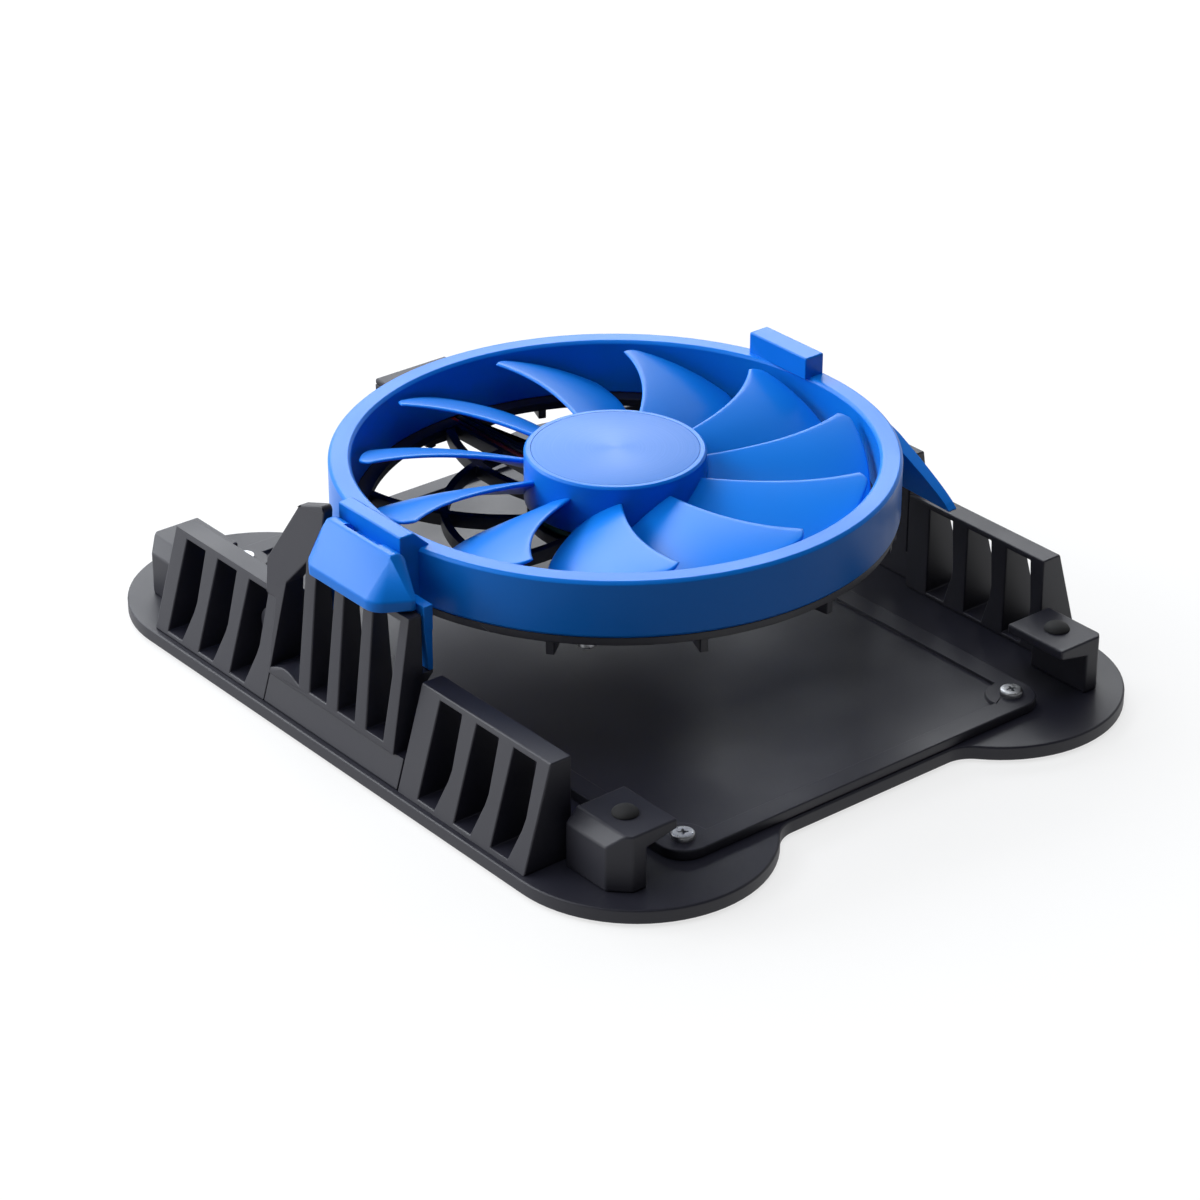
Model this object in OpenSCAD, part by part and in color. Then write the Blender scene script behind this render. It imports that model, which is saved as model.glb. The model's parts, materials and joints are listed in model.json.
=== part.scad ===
// Phone cooling fan: a clip-on axial fan held over a louvred stand.
// The device lies in the bay along Y. X runs across it, Z points up, and z = 0 is the resting surface.
// The fan turns about the Z axis at x = y = 0.

/* [Base] */
// Length of the base over its round corner lobes
base_l = 124.4; // [118:0.4:150]
// Radius of each corner lobe
lobe_r = 18.8; // [15:0.2:22]
// Depth of the recess between two lobes at each end
end_recess = 8.2; // [6:0.2:10]
// Radius of the fillet between a lobe and the recess
recess_fillet = 5; // [2:0.5:8]
// Thickness of the base plate
base_t = 2.1; // [1.8:0.1:4]
// Width of the flange that runs outside the walls
flange_w = 0.8; // [0.4:0.1:4]
// Height that the rubber feet lift the base plate
foot_h = 0.2; // [0.1:0.1:2]
// Radius of a rubber foot
foot_r = 6.5; // [4:0.5:9]
// Depth of the recess that holds a rubber foot
foot_sink = 0.6; // [0.4:0.1:0.8]

/* [Tray] */
// Thickness of the support tray
tray_t = 1.5; // [1.2:0.1:3]
// Corner radius of the tray
tray_corner_r = 4; // [2:0.5:8]
// Width of the raised rim of the tray
tray_rim_w = 3.2; // [2:0.2:6]
// Depth of the field inside the rim
tray_field_d = 0.5; // [0.2:0.1:0.9]
// Distance from the tray's edge to a corner screw
tray_screw_inset = 3.6; // [3:0.2:6]

/* [Walls] */
// Height of the louvre walls above the base plate
wall_h = 15; // [12:0.1:17]
// Inward lean of the outer faces of the walls, in degrees
wall_lean = 16.7; // [5:0.1:18]
// Width of a louvre slot
slot_w = 4.2; // [3:0.1:5]
// Distance from one louvre slot to the next
slot_pitch = 7.8; // [6:0.1:10]
// Width of the plain rib at the outer end of a louvre wall
end_rib = 3.1; // [2:0.1:5]
// Widening of a slot at its bend
slot_flare = 0.9; // [0:0.1:1.4]
// Narrowing of a slot towards its foot
slot_taper = 0.7; // [0:0.1:1.2]
// Height of the sill under the slots
sill_h = 0.7; // [0.5:0.1:3]
// Height of the rail over the slots
rail_h = 0.9; // [0.6:0.1:3]
// Radius of the round boss beside the inmost slot
tie_boss_r = 2.6; // [1.5:0.1:3]

/* [Corner posts] */
// Height of a corner post above the base plate
post_h = 8.3; // [7:0.1:12]
// Length of a post along the side of the stand
post_len = 10.6; // [8:0.2:14]
// Thickness of the post's wall
post_t = 4.8; // [3.6:0.1:7]
// Distance from the end of the base to the post
post_end = 7.6; // [6:0.1:9]
// Distance that the post stands outside the bay's side
post_out = 2; // [0:0.1:4]
// Reach of the shelf from the post's wall
shelf_reach = 5; // [4:0.2:5.6]
// Thickness of the shelf
shelf_t = 1.4; // [1:0.1:3]
// Size of the slanted outer corner and of the top bevel of a post
post_bevel = 1.8; // [0.6:0.1:3]
// Radius of a rest bumper
bumper_r = 1.8; // [1:0.1:2.4]
// Height of a rest bumper over its shelf
bumper_h = 1; // [0.6:0.1:2]

/* [Bay] */
// Clear height between the bumpers and the fan's stand-off ribs
bay_h = 8.3; // [6:0.1:14]

/* [Uprights] */
// Thickness of the left upright at its shoulder
upright_t = 2.1; // [1.8:0.1:3]
// Inward lean of an upright's outer face, in degrees
upright_lean = 9.5; // [6:0.1:10]
// Depth of the catch under the clip, from the upright's inner face
catch_t = 4; // [3.8:0.1:5]
// Distance from the fan axis to the near end of an upright
upright_near = 13.8; // [13.4:0.1:15]
// Distance from the fan axis to the far end of an upright
upright_far = 15.3; // [14.6:0.1:17]
// Height of the plain band under an upright
band_h = 4.4; // [3:0.1:6]
// Step between an upright's outer face and the band under it
band_step = 0.55; // [0.2:0.05:1.2]
// Width of an upright's slots at their foot
upright_slot_w = 3.8; // [3:0.1:4.2]
// Distance from one upright slot to the next
upright_slot_pitch = 6.5; // [6:0.1:6.8]
// Position along Y of the middle slot's foot
upright_slot_y = -2.9; // [-3.2:0.1:-2.6]
// Tilt of the slots towards the far end, at their top
upright_slot_tilt = 1.2; // [0:0.1:1.4]
// Rise of the horn's near corner over the left rail
horn_rise = 0.2; // [0:0.1:1]
// Fall of the horn's top towards its far corner
horn_fall = 1.9; // [0.5:0.1:4]
// Overhang of the horn's shoulder beyond the far end of its upright
horn_over = 2.9; // [1:0.1:3.4]

/* [Fan ring] */
// Outer diameter of the fan ring
ring_d = 80; // [72:1:100]
// Wall of the fan ring
ring_wall = 3.2; // [2.8:0.1:5]
// Height of the fan ring
ring_h = 8.4; // [7.6:0.1:14]
// Edge bevel of the ring
ring_bevel = 0.4; // [0.2:0.1:0.8]
// Reach of the side blocks beyond the ring
lug_reach = 2.3; // [1.8:0.1:5]
// Half of the length of a side block and of the left rail
bar_half = 7; // [6:0.1:7.4]
// Rise of the left rail over the ring
left_rail_rise = 2.4; // [1:0.1:3]
// Rise of the right rail over the ring
right_rail_rise = 3.2; // [1.6:0.1:3.4]
// Half of the length of the right rail
right_rail_half = 6.2; // [5:0.1:8]
// Reach of the left rail beyond the ring
left_rail_reach = 2.3; // [0.4:0.1:2.3]
// Inset of the right rail's outer side from the ring's outside
right_rail_inset = 0.4; // [0.2:0.1:1]
// Offset along Y of the right rail
right_rail_shift = 6.8; // [0:0.1:10]
// Distance from the fan axis to the tip of the swept fin
fin_reach = 27.3; // [20:0.1:34]
// Thickness of the swept fin at its tip
fin_t = 1.5; // [1.2:0.1:2.4]
// Thickness of the locating legs beside the uprights
leg_t = 1.4; // [1:0.1:2.4]
// Depth that the legs hang below the ring
leg_drop = 5.9; // [3:0.1:8]
// Width of a locating leg
leg_w = 2.2; // [1.6:0.1:2.6]

/* [Clip] */
// Distance from the fan axis to the near end of the clip
clip_near = 12.9; // [12:0.1:13.2]
// Distance from the fan axis to the far end of the clip
clip_far = 6.3; // [6:0.1:6.5]
// Length along Y of the slanted near end of the clip's skirt
clip_slant = 2.7; // [2:0.1:3.4]
// Distance from the near end of the skirt to the ridge of the clip
hip_near = 4.5; // [3.6:0.1:5]
// Radius of the soft near corner of the clip
clip_corner_r = 3; // [2:0.1:4]
// Wall of the clip
clip_t = 1.1; // [0.9:0.05:1.3]
// Height of the skirt at the lower edge of the clip
skirt_h = 1.5; // [1:0.1:2]
// Depth of the skirt's lower edge below the ring's top
skirt_drop = 5.2; // [4.8:0.1:5.4]
// Diameter of the hinge pin
pin_d = 1.2; // [1:0.1:1.3]
// Outer radius of the clip's knuckle
knuckle_r = 1.7; // [1.65:0.05:1.8]

/* [Impeller] */
// Number of blades
blade_count = 11; // [7:1:13]
// Running gap between the blade tips and the ring
tip_gap = 1.1; // [0.6:0.1:3]
// Forward sweep of a blade from root to tip, in degrees
blade_sweep = 10.2; // [0:0.2:20]
// Chord of a blade at its root, in degrees
root_chord = 30; // [20:1:34]
// Chord of a blade at its tip, in degrees
tip_chord = 28; // [18:1:32]
// Thickness of a blade at its root
blade_root_t = 1.3; // [1:0.1:2]
// Thickness of a blade at its tip
blade_tip_t = 0.9; // [0.7:0.1:1.6]
// Radius of the hub
hub_r = 12.8; // [11:0.1:16]
// Wall of the hub
hub_wall = 1.3; // [1:0.1:2]
// Thickness of the hub's top
hub_top_t = 1.6; // [1.4:0.1:2]
// Thickness of the disc on the hub
cap_t = 0.5; // [0.3:0.1:0.8]

/* [Motor] */
// Diameter of the fan shaft
shaft_d = 2; // [1.6:0.1:3]
// Wall of the sleeve bearing
bearing_wall = 1.2; // [0.8:0.1:1.6]
// Wall of the bearing tube
tube_wall = 0.7; // [0.5:0.1:1.2]
// Wall of the steel rotor yoke
yoke_t = 0.6; // [0.4:0.1:1]
// Radial thickness of the ring magnet
magnet_t = 1; // [0.8:0.1:1.6]
// Number of stator poles
pole_count = 4; // [4:2:8]
// Thickness of the motor's circuit board
board_t = 0.8; // [0.6:0.1:1.2]

/* [Grille] */
// Number of curved vanes
vane_count = 9; // [7:1:11]
// Thickness of a vane
vane_t = 1.3; // [1:0.1:2]
// Height of a vane
vane_h = 2; // [1.6:0.1:2.4]
// Radius of the curve of a vane
vane_curve_r = 30; // [26:1:40]
// Thickness of the grille's rim
rim_t = 1.2; // [1:0.1:2]
// Width of the grille's rim
rim_w = 5; // [4:0.1:6]
// Radius of the middle hoop
hoop_r = 24; // [20:0.5:27]
// Height of the stand-off ribs under the rim
standoff_h = 2.1; // [1.6:0.1:4]
// Number of stand-off ribs
standoff_count = 12; // [6:2:16]

/* [Power inlet] */
// Width of the inlet's opening
inlet_w = 8.94; // [8:0.02:12]
// Height of the inlet's opening
inlet_h = 3.16; // [2.8:0.02:3.4]
// Depth of the inlet
inlet_len = 6.6; // [5:0.1:9]
// Wall of the inlet's metal shell
inlet_wall = 0.3; // [0.2:0.05:0.4]
// Wall of the inlet's housing
pod_wall = 1.4; // [1:0.1:2]
// Diameter of a motor lead
lead_d = 0.8; // [0.5:0.05:0.85]

/* [Fasteners and fits] */
// Diameter of the stand's screws
screw_d = 1.6; // [1.2:0.1:2]
// Head diameter of the stand's screws
screw_head_d = 3.2; // [2.6:0.1:3.6]
// Head height of the stand's screws
screw_head_h = 0.8; // [0.5:0.05:1]
// Length of a base screw over its head
screw_len = 4.4; // [3:0.1:5]
// Clearance round parts that are pressed or screwed together
snug = 0.03; // [0.02:0.01:0.05]
// Running clearance of shafts and hinge pins
running = 0.05; // [0.03:0.01:0.08]
// Gap between neighbouring loose-fitted pieces
seat_gap = 0.3; // [0.25:0.05:0.4]

/* [Hidden] */
$fn = 72;
tiny = 0.01;

stand_black = [0.12, 0.12, 0.14];
fan_blue = [0.05, 0.32, 0.78];
rubber_black = [0.06, 0.06, 0.06];
steel_grey = [0.62, 0.63, 0.65];
copper = [0.72, 0.40, 0.20];
board_green = [0.08, 0.32, 0.18];

// Heights, from the resting surface up
base_top = foot_h + base_t;
post_top = base_top + post_h;
bay_z0 = post_top + bumper_h;
bay_z1 = bay_z0 + bay_h;
rim_z = bay_z1 + standoff_h;
ring_z = rim_z + rim_t;
ring_top = ring_z + ring_h;
wall_top = base_top + wall_h;
band_top = base_top + band_h;

// Distances from the fan axis across the stand
ring_r = ring_d / 2;
ring_in_r = ring_r - ring_wall;
rail_foot_r = ring_in_r + ring_bevel + 0.3;
bay_x = ring_r + lug_reach;
upright_in = bay_x + leg_t + seat_gap;
upright_out_top = upright_in + upright_t;
catch_out = upright_in + catch_t;
skirt_z = ring_top - skirt_drop;
tongue_z = skirt_z - 0.4;

// Outer face of an upright, and of the walls, at a height
function upright_out(z) = upright_out_top + (tongue_z - z) * tan(upright_lean);
wall_out_band = upright_out(band_top) - band_step;
function wall_out(z) = wall_out_band + (band_top - z) * tan(wall_lean);
base_w = 2 * (wall_out(base_top) + flange_w);
lobe_x = base_w / 2 - lobe_r;
lobe_y = base_l / 2 - lobe_r;
end_y = base_l / 2 - end_recess;

// Posts and louvre walls along the sides
post_y1 = base_l / 2 - post_end;
post_y0 = post_y1 - post_len;
post_out_x = bay_x + post_out;
post_in_x = post_out_x - post_t;
louvre_y0 = max(upright_near, upright_far) + seat_gap;
louvre_y1 = post_y0 - 1.2;
band_y = louvre_y0 - seat_gap / 2;
slot_z0 = base_top + sill_h;
slot_z1 = wall_top - rail_h;
root_rib = 2.4;
slot_count = floor((louvre_y1 - louvre_y0 - end_rib - root_rib + slot_pitch - slot_w) / slot_pitch);
function slot_y(i) = louvre_y1 - end_rib - slot_w / 2 - i * slot_pitch;

// Uprights
upright_slot_z0 = band_top + 1;
tongue_near = -0.682 * clip_near;
tongue_far = 0.54 * clip_far;
horn_near = clip_far + seat_gap + 0.05;
horn_top = ring_top + left_rail_rise + horn_rise;
shoulder_z = tongue_z - 3.5;
ledge_h = 1.8;
leg_z = ring_z - leg_drop;
leg_far = upright_slot_y + 1.5 * upright_slot_pitch + upright_slot_tilt / 2 + 1.1 + leg_w / 2;
right_leg_near = upright_slot_y - upright_slot_pitch / 2 + upright_slot_tilt / 2 - leg_w / 2 + 0.15;
hook_z = leg_z + 2.2;
hook_h = 1.2;
right_top = hook_z + hook_h + 1.5;

// Hinge and clip, in a frame where x points outwards
pin_r = pin_d / 2;
lug_r = pin_r + 0.5;
clip_swing = 80;
hinge_gap = 0.2;
pin_x = bay_x + hinge_gap + knuckle_r;
pin_z = ring_top + 1.2 - knuckle_r;
ridge_near = hip_near - clip_near;
ridge_far = clip_far * 0.937;
pin_near = ridge_near;
pin_far = ridge_far;
lug_knuckle_near = ridge_near * 0.548;
lug_knuckle_far = ridge_far * 0.44;
clip_out = catch_out + seat_gap + clip_t;
clip_in = upright_in + 0.2;
bead_reach = 0.55;
bead_h = 0.15;

// Fan and motor
tip_r = ring_in_r - tip_gap;
root_r = hub_r - hub_wall / 2;
hub_z0 = ring_z + 1;
hub_top = ring_top + 0.2;
hub_in_r = hub_r - hub_wall;
hub_in_top = hub_top - hub_top_t;
hub_bevel = 0.5;
cap_r = hub_r - hub_bevel - 0.5;
blade_low = hub_z0 + 0.4;
lead_root_z = ring_top - 2.4;
lead_tip_z = ring_top - 0.6;
first_tip_angle = -0.5;
span_steps = 8;
chord_steps = 6;
shaft_r = shaft_d / 2;
bearing_r = shaft_r + bearing_wall;
tube_in_r = bearing_r + snug;
tube_r = tube_in_r + tube_wall;
boss_r = shaft_r + 1.5;
boss_z = hub_in_top - 1.3;
mount_z = ring_z - 2.4;
mount_t = 1.6;
mount_top = mount_z + mount_t;
mount_r = hub_r - 0.4;
thrust_t = 0.4;
thrust_z = mount_z + 0.6;
shaft_z = thrust_z + thrust_t + 0.05;
groove_h = 0.4;
groove_z = shaft_z + 0.2;
groove_r = shaft_r * 0.75;
clip_ring_t = groove_h - 0.1;
bearing_z = groove_z + groove_h + 0.2;
tube_top = boss_z - 0.3;
bearing_top = tube_top - 0.3;
board_top = mount_top + board_t;
board_r = hub_in_r - 0.1;
yoke_r = hub_in_r - snug;
yoke_top = hub_in_top - snug;
magnet_r = yoke_r - yoke_t - snug;
magnet_in_r = magnet_r - magnet_t;
core_r = magnet_in_r - 0.4;
core_z0 = board_top + 1.2;
core_z1 = yoke_top - yoke_t - 1.3;
coil_rise = 0.6;
tooth_w = core_r * 0.28;
shoe_t = 0.9;

// Grille, inlet and leads
rim_out_r = ring_r - 0.4;
rim_in_r = rim_out_r - rim_w;
vane_z = ring_z - 0.2 - vane_h;
hoop_w = 1.2;
lead_r = lead_d / 2;
lead_step = lead_d + 0.3;
lead_z = ring_z - 0.05 - lead_r;
lead_half = lead_step / 2 + lead_r + 0.1;
groove_bottom = lead_z - lead_r - 0.05;
arm_half = lead_half + 0.8;
pod_z = bay_z1 + 0.5;
pod_floor_top = pod_z + 1.6;
pod_y0 = ring_r + 0.3;
pod_half = inlet_w / 2 + pod_wall + 0.6;
pod_y1 = pod_y0 + inlet_len + pod_wall - 0.2;
power_board_t = 1;
inlet_z = pod_floor_top + power_board_t;
pod_top = inlet_z + inlet_h + 0.1;
lid_t = 0.9;
inlet_y1 = pod_y1 + 0.2;
tongue_t = 0.7;

// Fasteners
screw_r = screw_d / 2;
screw_head_r = screw_head_d / 2;
fan_screw_r = 0.7;
fan_screw_head_r = 1.3;
fan_screw_head_h = 0.7;
fan_screw_len = 3.4;
fan_screw_at = (ring_in_r + rim_out_r) / 2;
tray_screw_len = tray_t + base_t - foot_sink - 0.4;
tray_x = post_in_x - shelf_reach - 1.2;
tray_y = end_y - 0.4;
tray_screw_x = tray_x - tray_screw_inset;
tray_screw_y = tray_y - tray_screw_inset;
wall_screw_x = (bay_x + wall_out(base_top)) / 2;
upright_screw_x = (upright_in + wall_out(base_top)) / 2;
post_screw_x = (post_in_x + post_out_x) / 2;
louvre_screw_y = [
    slot_y(0) - slot_pitch / 2 - slot_flare / 4,
    slot_y(slot_count - 1) + slot_pitch / 2 - slot_flare / 4
];
upright_screw_y = [-9.5, 9.5];
screw_points = concat(
    [for (s = [-1, 1], t = [-1, 1], y = louvre_screw_y) [s * wall_screw_x, t * y]],
    [for (s = [-1, 1], y = upright_screw_y) [s * upright_screw_x, y]],
    [for (s = [-1, 1], t = [-1, 1]) [s * post_screw_x, t * (post_y0 + post_y1) / 2]]
);

// Extrude a profile of x and z along Y
module along_y(y0, y1) {
    translate([0, y1, 0]) rotate([90, 0, 0]) linear_extrude(y1 - y0) children();
}

// Extrude a profile of y and z along X
module along_x(x0, x1) {
    translate([x0, 0, 0]) rotate([90, 0, 90]) linear_extrude(x1 - x0) children();
}

// A cylinder along Y
module rod_y(r, y0, y1, x, z) {
    translate([x, y1, z]) rotate([90, 0, 0]) cylinder(r = r, h = y1 - y0);
}

// A ring with a square section
module hoop(r_out, r_in, z0, z1) {
    translate([0, 0, z0]) difference() {
        cylinder(r = r_out, h = z1 - z0);
        translate([0, 0, -1]) cylinder(r = r_in, h = z1 - z0 + 2);
    }
}

// A rectangle of half sizes x and y with round corners
module round_rect(x, y, r) {
    square([2 * x, 2 * (y - r)], center = true);
    square([2 * (x - r), 2 * y], center = true);
    for (s = [-1, 1], t = [-1, 1]) translate([s * (x - r), t * (y - r)]) circle(r);
}

// Mirrored copy on the left, plain on the right
module on_side(side) {
    mirror([side < 0 ? 1 : 0, 0, 0]) children();
}

// Points along an arc
function arc(c, r, a0, a1, steps) =
    [for (k = [0:steps]) let (a = a0 + (a1 - a0) * k / steps) c + r * [cos(a), sin(a)]];
function flip(list, sx, sy) = [for (p = list) [p[0] * sx, p[1] * sy]];
function back(list) = [for (i = [len(list) - 1:-1:0]) list[i]];

// Outline of the base: straight sides, four lobes, and filleted recesses at the ends
module base_outline() {
    fillet_y = end_y + recess_fillet;
    reach = lobe_r + recess_fillet;
    fillet_x = lobe_x - sqrt(reach * reach - (fillet_y - lobe_y) * (fillet_y - lobe_y));
    turn = atan2(fillet_y - lobe_y, fillet_x - lobe_x);
    quarter = concat(
        arc([lobe_x, lobe_y], lobe_r, 0, turn, 30),
        arc([fillet_x, fillet_y], recess_fillet, turn + 180, 270, 8)
    );
    polygon(concat(quarter, back(flip(quarter, -1, 1)), flip(quarter, -1, -1), back(flip(quarter, 1, -1))));
}

module base_plate() {
    color(stand_black) difference() {
        translate([0, 0, foot_h]) linear_extrude(base_t) base_outline();
        for (p = screw_points) translate([p[0], p[1], 0]) {
            cylinder(r = screw_r + running, h = base_top + 1);
            cylinder(r = screw_head_r + 0.2, h = foot_h + screw_head_h + 0.1);
        }
        for (s = [-1, 1], t = [-1, 1]) {
            translate([s * lobe_x, t * lobe_y, 0]) cylinder(r = foot_r + running, h = foot_h + foot_sink);
            translate([s * tray_screw_x, t * tray_screw_y, foot_h + foot_sink + 0.2])
                cylinder(r = screw_r + snug, h = base_t);
        }
    }
}

module rubber_feet() {
    color(rubber_black) for (s = [-1, 1], t = [-1, 1]) translate([s * lobe_x, t * lobe_y, 0])
        cylinder(r = foot_r, h = foot_h + foot_sink);
}

// A pan-head screw with its head at z = 0 and its shank pointing up
module screw(r, head_r, head_h, len) {
    cylinder(r = head_r, h = head_h);
    cylinder(r = r, h = head_h + len);
}

module base_screws() {
    color(steel_grey) for (p = screw_points) translate([p[0], p[1], foot_h + 0.1])
        screw(screw_r, screw_head_r, screw_head_h, screw_len);
}

// Holes that take the base screws
module screw_pilots() {
    for (p = screw_points) translate([p[0], p[1], base_top - 1])
        cylinder(r = screw_r + snug, h = 1 + screw_len - base_t + screw_head_h + 0.4);
}

module support_tray() {
    color(stand_black) difference() {
        translate([0, 0, base_top]) linear_extrude(tray_t) round_rect(tray_x, tray_y, tray_corner_r);
        translate([0, 0, base_top + tray_t - tray_field_d]) linear_extrude(tray_t) difference() {
            round_rect(tray_x - tray_rim_w, tray_y - tray_rim_w, tray_corner_r);
            for (s = [-1, 1], t = [-1, 1])
                translate([s * tray_screw_x, t * tray_screw_y])
                    circle(tray_screw_inset);
        }
        for (s = [-1, 1], t = [-1, 1])
            translate([s * tray_screw_x, t * tray_screw_y, base_top - 1])
                cylinder(r = screw_r + running, h = tray_t + 2);
    }
}

module tray_screws() {
    color(steel_grey) for (s = [-1, 1], t = [-1, 1])
        translate([s * tray_screw_x, t * tray_screw_y, base_top + tray_t + screw_head_h])
            mirror([0, 0, 1]) screw(screw_r, screw_head_r, screw_head_h, tray_screw_len);
}

// One louvre slot in y and z: its near side bends, so that the rib beside it is thinnest at the bend
module louvre_slot_outline() {
    bend_z = slot_z0 + 0.4 * (slot_z1 - slot_z0);
    soft = 0.8;
    polygon([
        [-slot_w / 2 + slot_taper, slot_z0], [-slot_w / 2 - slot_flare * 0.75, bend_z - soft],
        [-slot_w / 2 - slot_flare, bend_z + soft], [-slot_w / 2 - slot_flare * 0.45, slot_z1],
        [slot_w / 2, slot_z1], [slot_w / 2, slot_z0]
    ]);
}

// One slot of an upright in y and z, wider at its top and tilted towards the far end
module slot_outline(w, z0, z1, near_shift, far_shift) {
    polygon([[-w / 2, z0], [-w / 2 + near_shift, z1], [w / 2 + far_shift, z1], [w / 2, z0]]);
}

// A louvre wall; end is 1 at the rear and -1 at the front
module louvre(side, end) {
    y0 = end > 0 ? louvre_y0 : -louvre_y1;
    on_side(side) difference() {
        union() {
            difference() {
                along_y(y0, y0 + louvre_y1 - louvre_y0) polygon([
                    [bay_x, base_top], [wall_out(base_top), base_top],
                    [wall_out(wall_top), wall_top], [bay_x, wall_top]
                ]);
                for (i = [0:slot_count - 1]) translate([0, end * slot_y(i), 0])
                    along_x(bay_x - 1, base_w) louvre_slot_outline();
            }
            if (end > 0)
                translate([bay_x, slot_y(slot_count - 1) - slot_w / 2, (slot_z0 + slot_z1) / 2 + 1])
                    rotate([0, 90, 0]) cylinder(r = tie_boss_r, h = 3);
        }
        screw_pilots();
    }
}

module left_front_louvre() { color(stand_black) louvre(-1, -1); }
module left_rear_louvre() { color(stand_black) louvre(-1, 1); }
module right_front_louvre() { color(stand_black) louvre(1, -1); }
module right_rear_louvre() { color(stand_black) louvre(1, 1); }

// Side view of the horn in y and z, with a soft far corner
module horn_outline() {
    low = wall_top + seat_gap;
    offset(r = 0.8, $fn = 32) offset(delta = -0.8) polygon([
        [horn_near, low], [horn_near, horn_top], [0.8 * upright_far, horn_top - horn_fall],
        [upright_far + horn_over, shoulder_z], [upright_far + horn_over - 0.6, low]
    ]);
}

// The wide slot at the far end of an upright, with a slanted head and a wavy sill
module wide_slot(top) {
    near = upright_slot_y + upright_slot_pitch * 2 - upright_slot_w / 2;
    far = upright_far - 0.5;
    sill = [for (k = [0:8]) [
        near + (far - near) * k / 8, upright_slot_z0 + 0.9 * sin(180 * k / 8)
    ]];
    polygon(concat(sill, [[upright_far - 2, top - 4.4], [near + upright_slot_tilt, top]]));
}

// An upright: foot band, slotted plate and ledges. The left one also has the catch and the horn,
// and the right one has pockets for the hooks of the fan ring
module upright(side) {
    left = side < 0;
    top = left ? tongue_z : right_top;
    head_z = pin_z - knuckle_r - 1.2;
    leg_ys = [left ? -upright_near : right_leg_near, leg_far - leg_w];
    on_side(side) difference() {
        union() {
            along_y(-band_y, band_y) polygon([
                [upright_in, base_top], [wall_out(base_top), base_top],
                [wall_out(band_top), band_top], [upright_in, band_top]
            ]);
            along_y(-upright_near, upright_far) polygon([
                [upright_in, band_top - tiny], [upright_out(band_top), band_top - tiny],
                [upright_out(top), top], [upright_in, top]
            ]);
            if (left) {
                along_y(tongue_near, tongue_far) polygon([
                    [upright_in, tongue_z - tiny], [upright_out_top, tongue_z - tiny],
                    [catch_out, tongue_z + 0.2], [catch_out, skirt_z + 0.7],
                    [catch_out - 1.4, head_z], [upright_in, head_z]
                ]);
                intersection() {
                    along_x(upright_in - 1, base_w) horn_outline();
                    along_y(0, base_l) polygon([
                        [upright_in, wall_top], [upright_out(wall_top), wall_top],
                        [upright_out(horn_top), horn_top], [upright_in - 0.8, horn_top],
                        [upright_in, tongue_z + 1.5]
                    ]);
                }
            }
            for (y = leg_ys) along_y(y, y + leg_w) polygon([
                [upright_in + tiny, leg_z], [bay_x, leg_z],
                [bay_x, leg_z - 0.4], [upright_in + tiny, leg_z - ledge_h - 0.4]
            ]);
        }
        for (i = [-1:1]) translate([0, upright_slot_y + i * upright_slot_pitch, 0])
            along_x(upright_in - tiny, base_w) slot_outline(
                upright_slot_w, upright_slot_z0, top - 1,
                upright_slot_tilt * (i < 0 ? -0.5 : 0.8), upright_slot_tilt * 1.2
            );
        along_x(upright_in - tiny, base_w) wide_slot(top - 1);
        if (left) along_y(tongue_near - 1, tongue_far + 1) polygon([
            [catch_out + 0.5, skirt_z - 0.35], [catch_out - bead_reach - 0.1, skirt_z - 0.35],
            [catch_out - bead_reach - 0.1, skirt_z + 0.05], [catch_out + 0.5, skirt_z + 1.2]
        ]);
        else for (y = leg_ys) along_y(y - seat_gap, y + leg_w + seat_gap) polygon([
            [upright_in - 0.1, hook_z - 0.2], [upright_in + 0.8, hook_z + 0.2],
            [upright_in + 0.8, hook_z + hook_h - 0.2], [upright_in - 0.1, hook_z + hook_h + 0.2]
        ]);
        screw_pilots();
    }
}

module left_upright() { color(stand_black) upright(-1); }
module right_upright() { color(stand_black) upright(1); }

// A corner post: a wall with a slanted corner, a bevelled top, and a shelf that carries a bumper
module post(side, end) {
    shelf_in = post_in_x - shelf_reach;
    on_side(side) mirror([0, end < 0 ? 1 : 0, 0]) difference() {
        union() {
            intersection() {
                translate([0, 0, base_top]) linear_extrude(post_h) polygon([
                    [post_in_x, post_y0], [post_out_x, post_y0], [post_out_x, post_y1 - post_bevel * 1.4],
                    [post_out_x - post_bevel * 1.4, post_y1], [post_in_x, post_y1]
                ]);
                along_y(post_y0 - 1, post_y1 + 1) polygon([
                    [post_in_x - 1, base_top], [post_out_x + 1, base_top],
                    [post_out_x + 1, post_top - post_bevel - 1], [post_out_x - post_bevel, post_top],
                    [post_in_x - 1, post_top]
                ]);
            }
            along_y(post_y0, post_y1) polygon([
                [shelf_in, post_top], [shelf_in, post_top - shelf_t],
                [post_in_x, post_top - shelf_t - 1], [post_in_x + tiny, post_top]
            ]);
        }
        screw_pilots();
    }
}

module left_front_post() { color(stand_black) post(-1, -1); }
module left_rear_post() { color(stand_black) post(-1, 1); }
module right_front_post() { color(stand_black) post(1, -1); }
module right_rear_post() { color(stand_black) post(1, 1); }

module rest_bumpers() {
    color(rubber_black) for (s = [-1, 1], t = [-1, 1])
        translate([s * (post_in_x - bumper_r * 0.4), t * (post_y0 + post_y1) / 2, post_top]) rotate_extrude()
            polygon(concat([[0, 0]], [for (k = [0:6]) [bumper_r * cos(15 * k), bumper_h * sin(15 * k)]]));
}

// Section of the left rail in x and z: a narrow flat top that slopes down to the ring's inner edge
module left_rail_section(out) {
    polygon([
        [rail_foot_r, ring_z + 1], [out, ring_z + 1], [out, ring_top + left_rail_rise],
        [ring_r, ring_top + left_rail_rise], [rail_foot_r, ring_top]
    ]);
}

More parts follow.
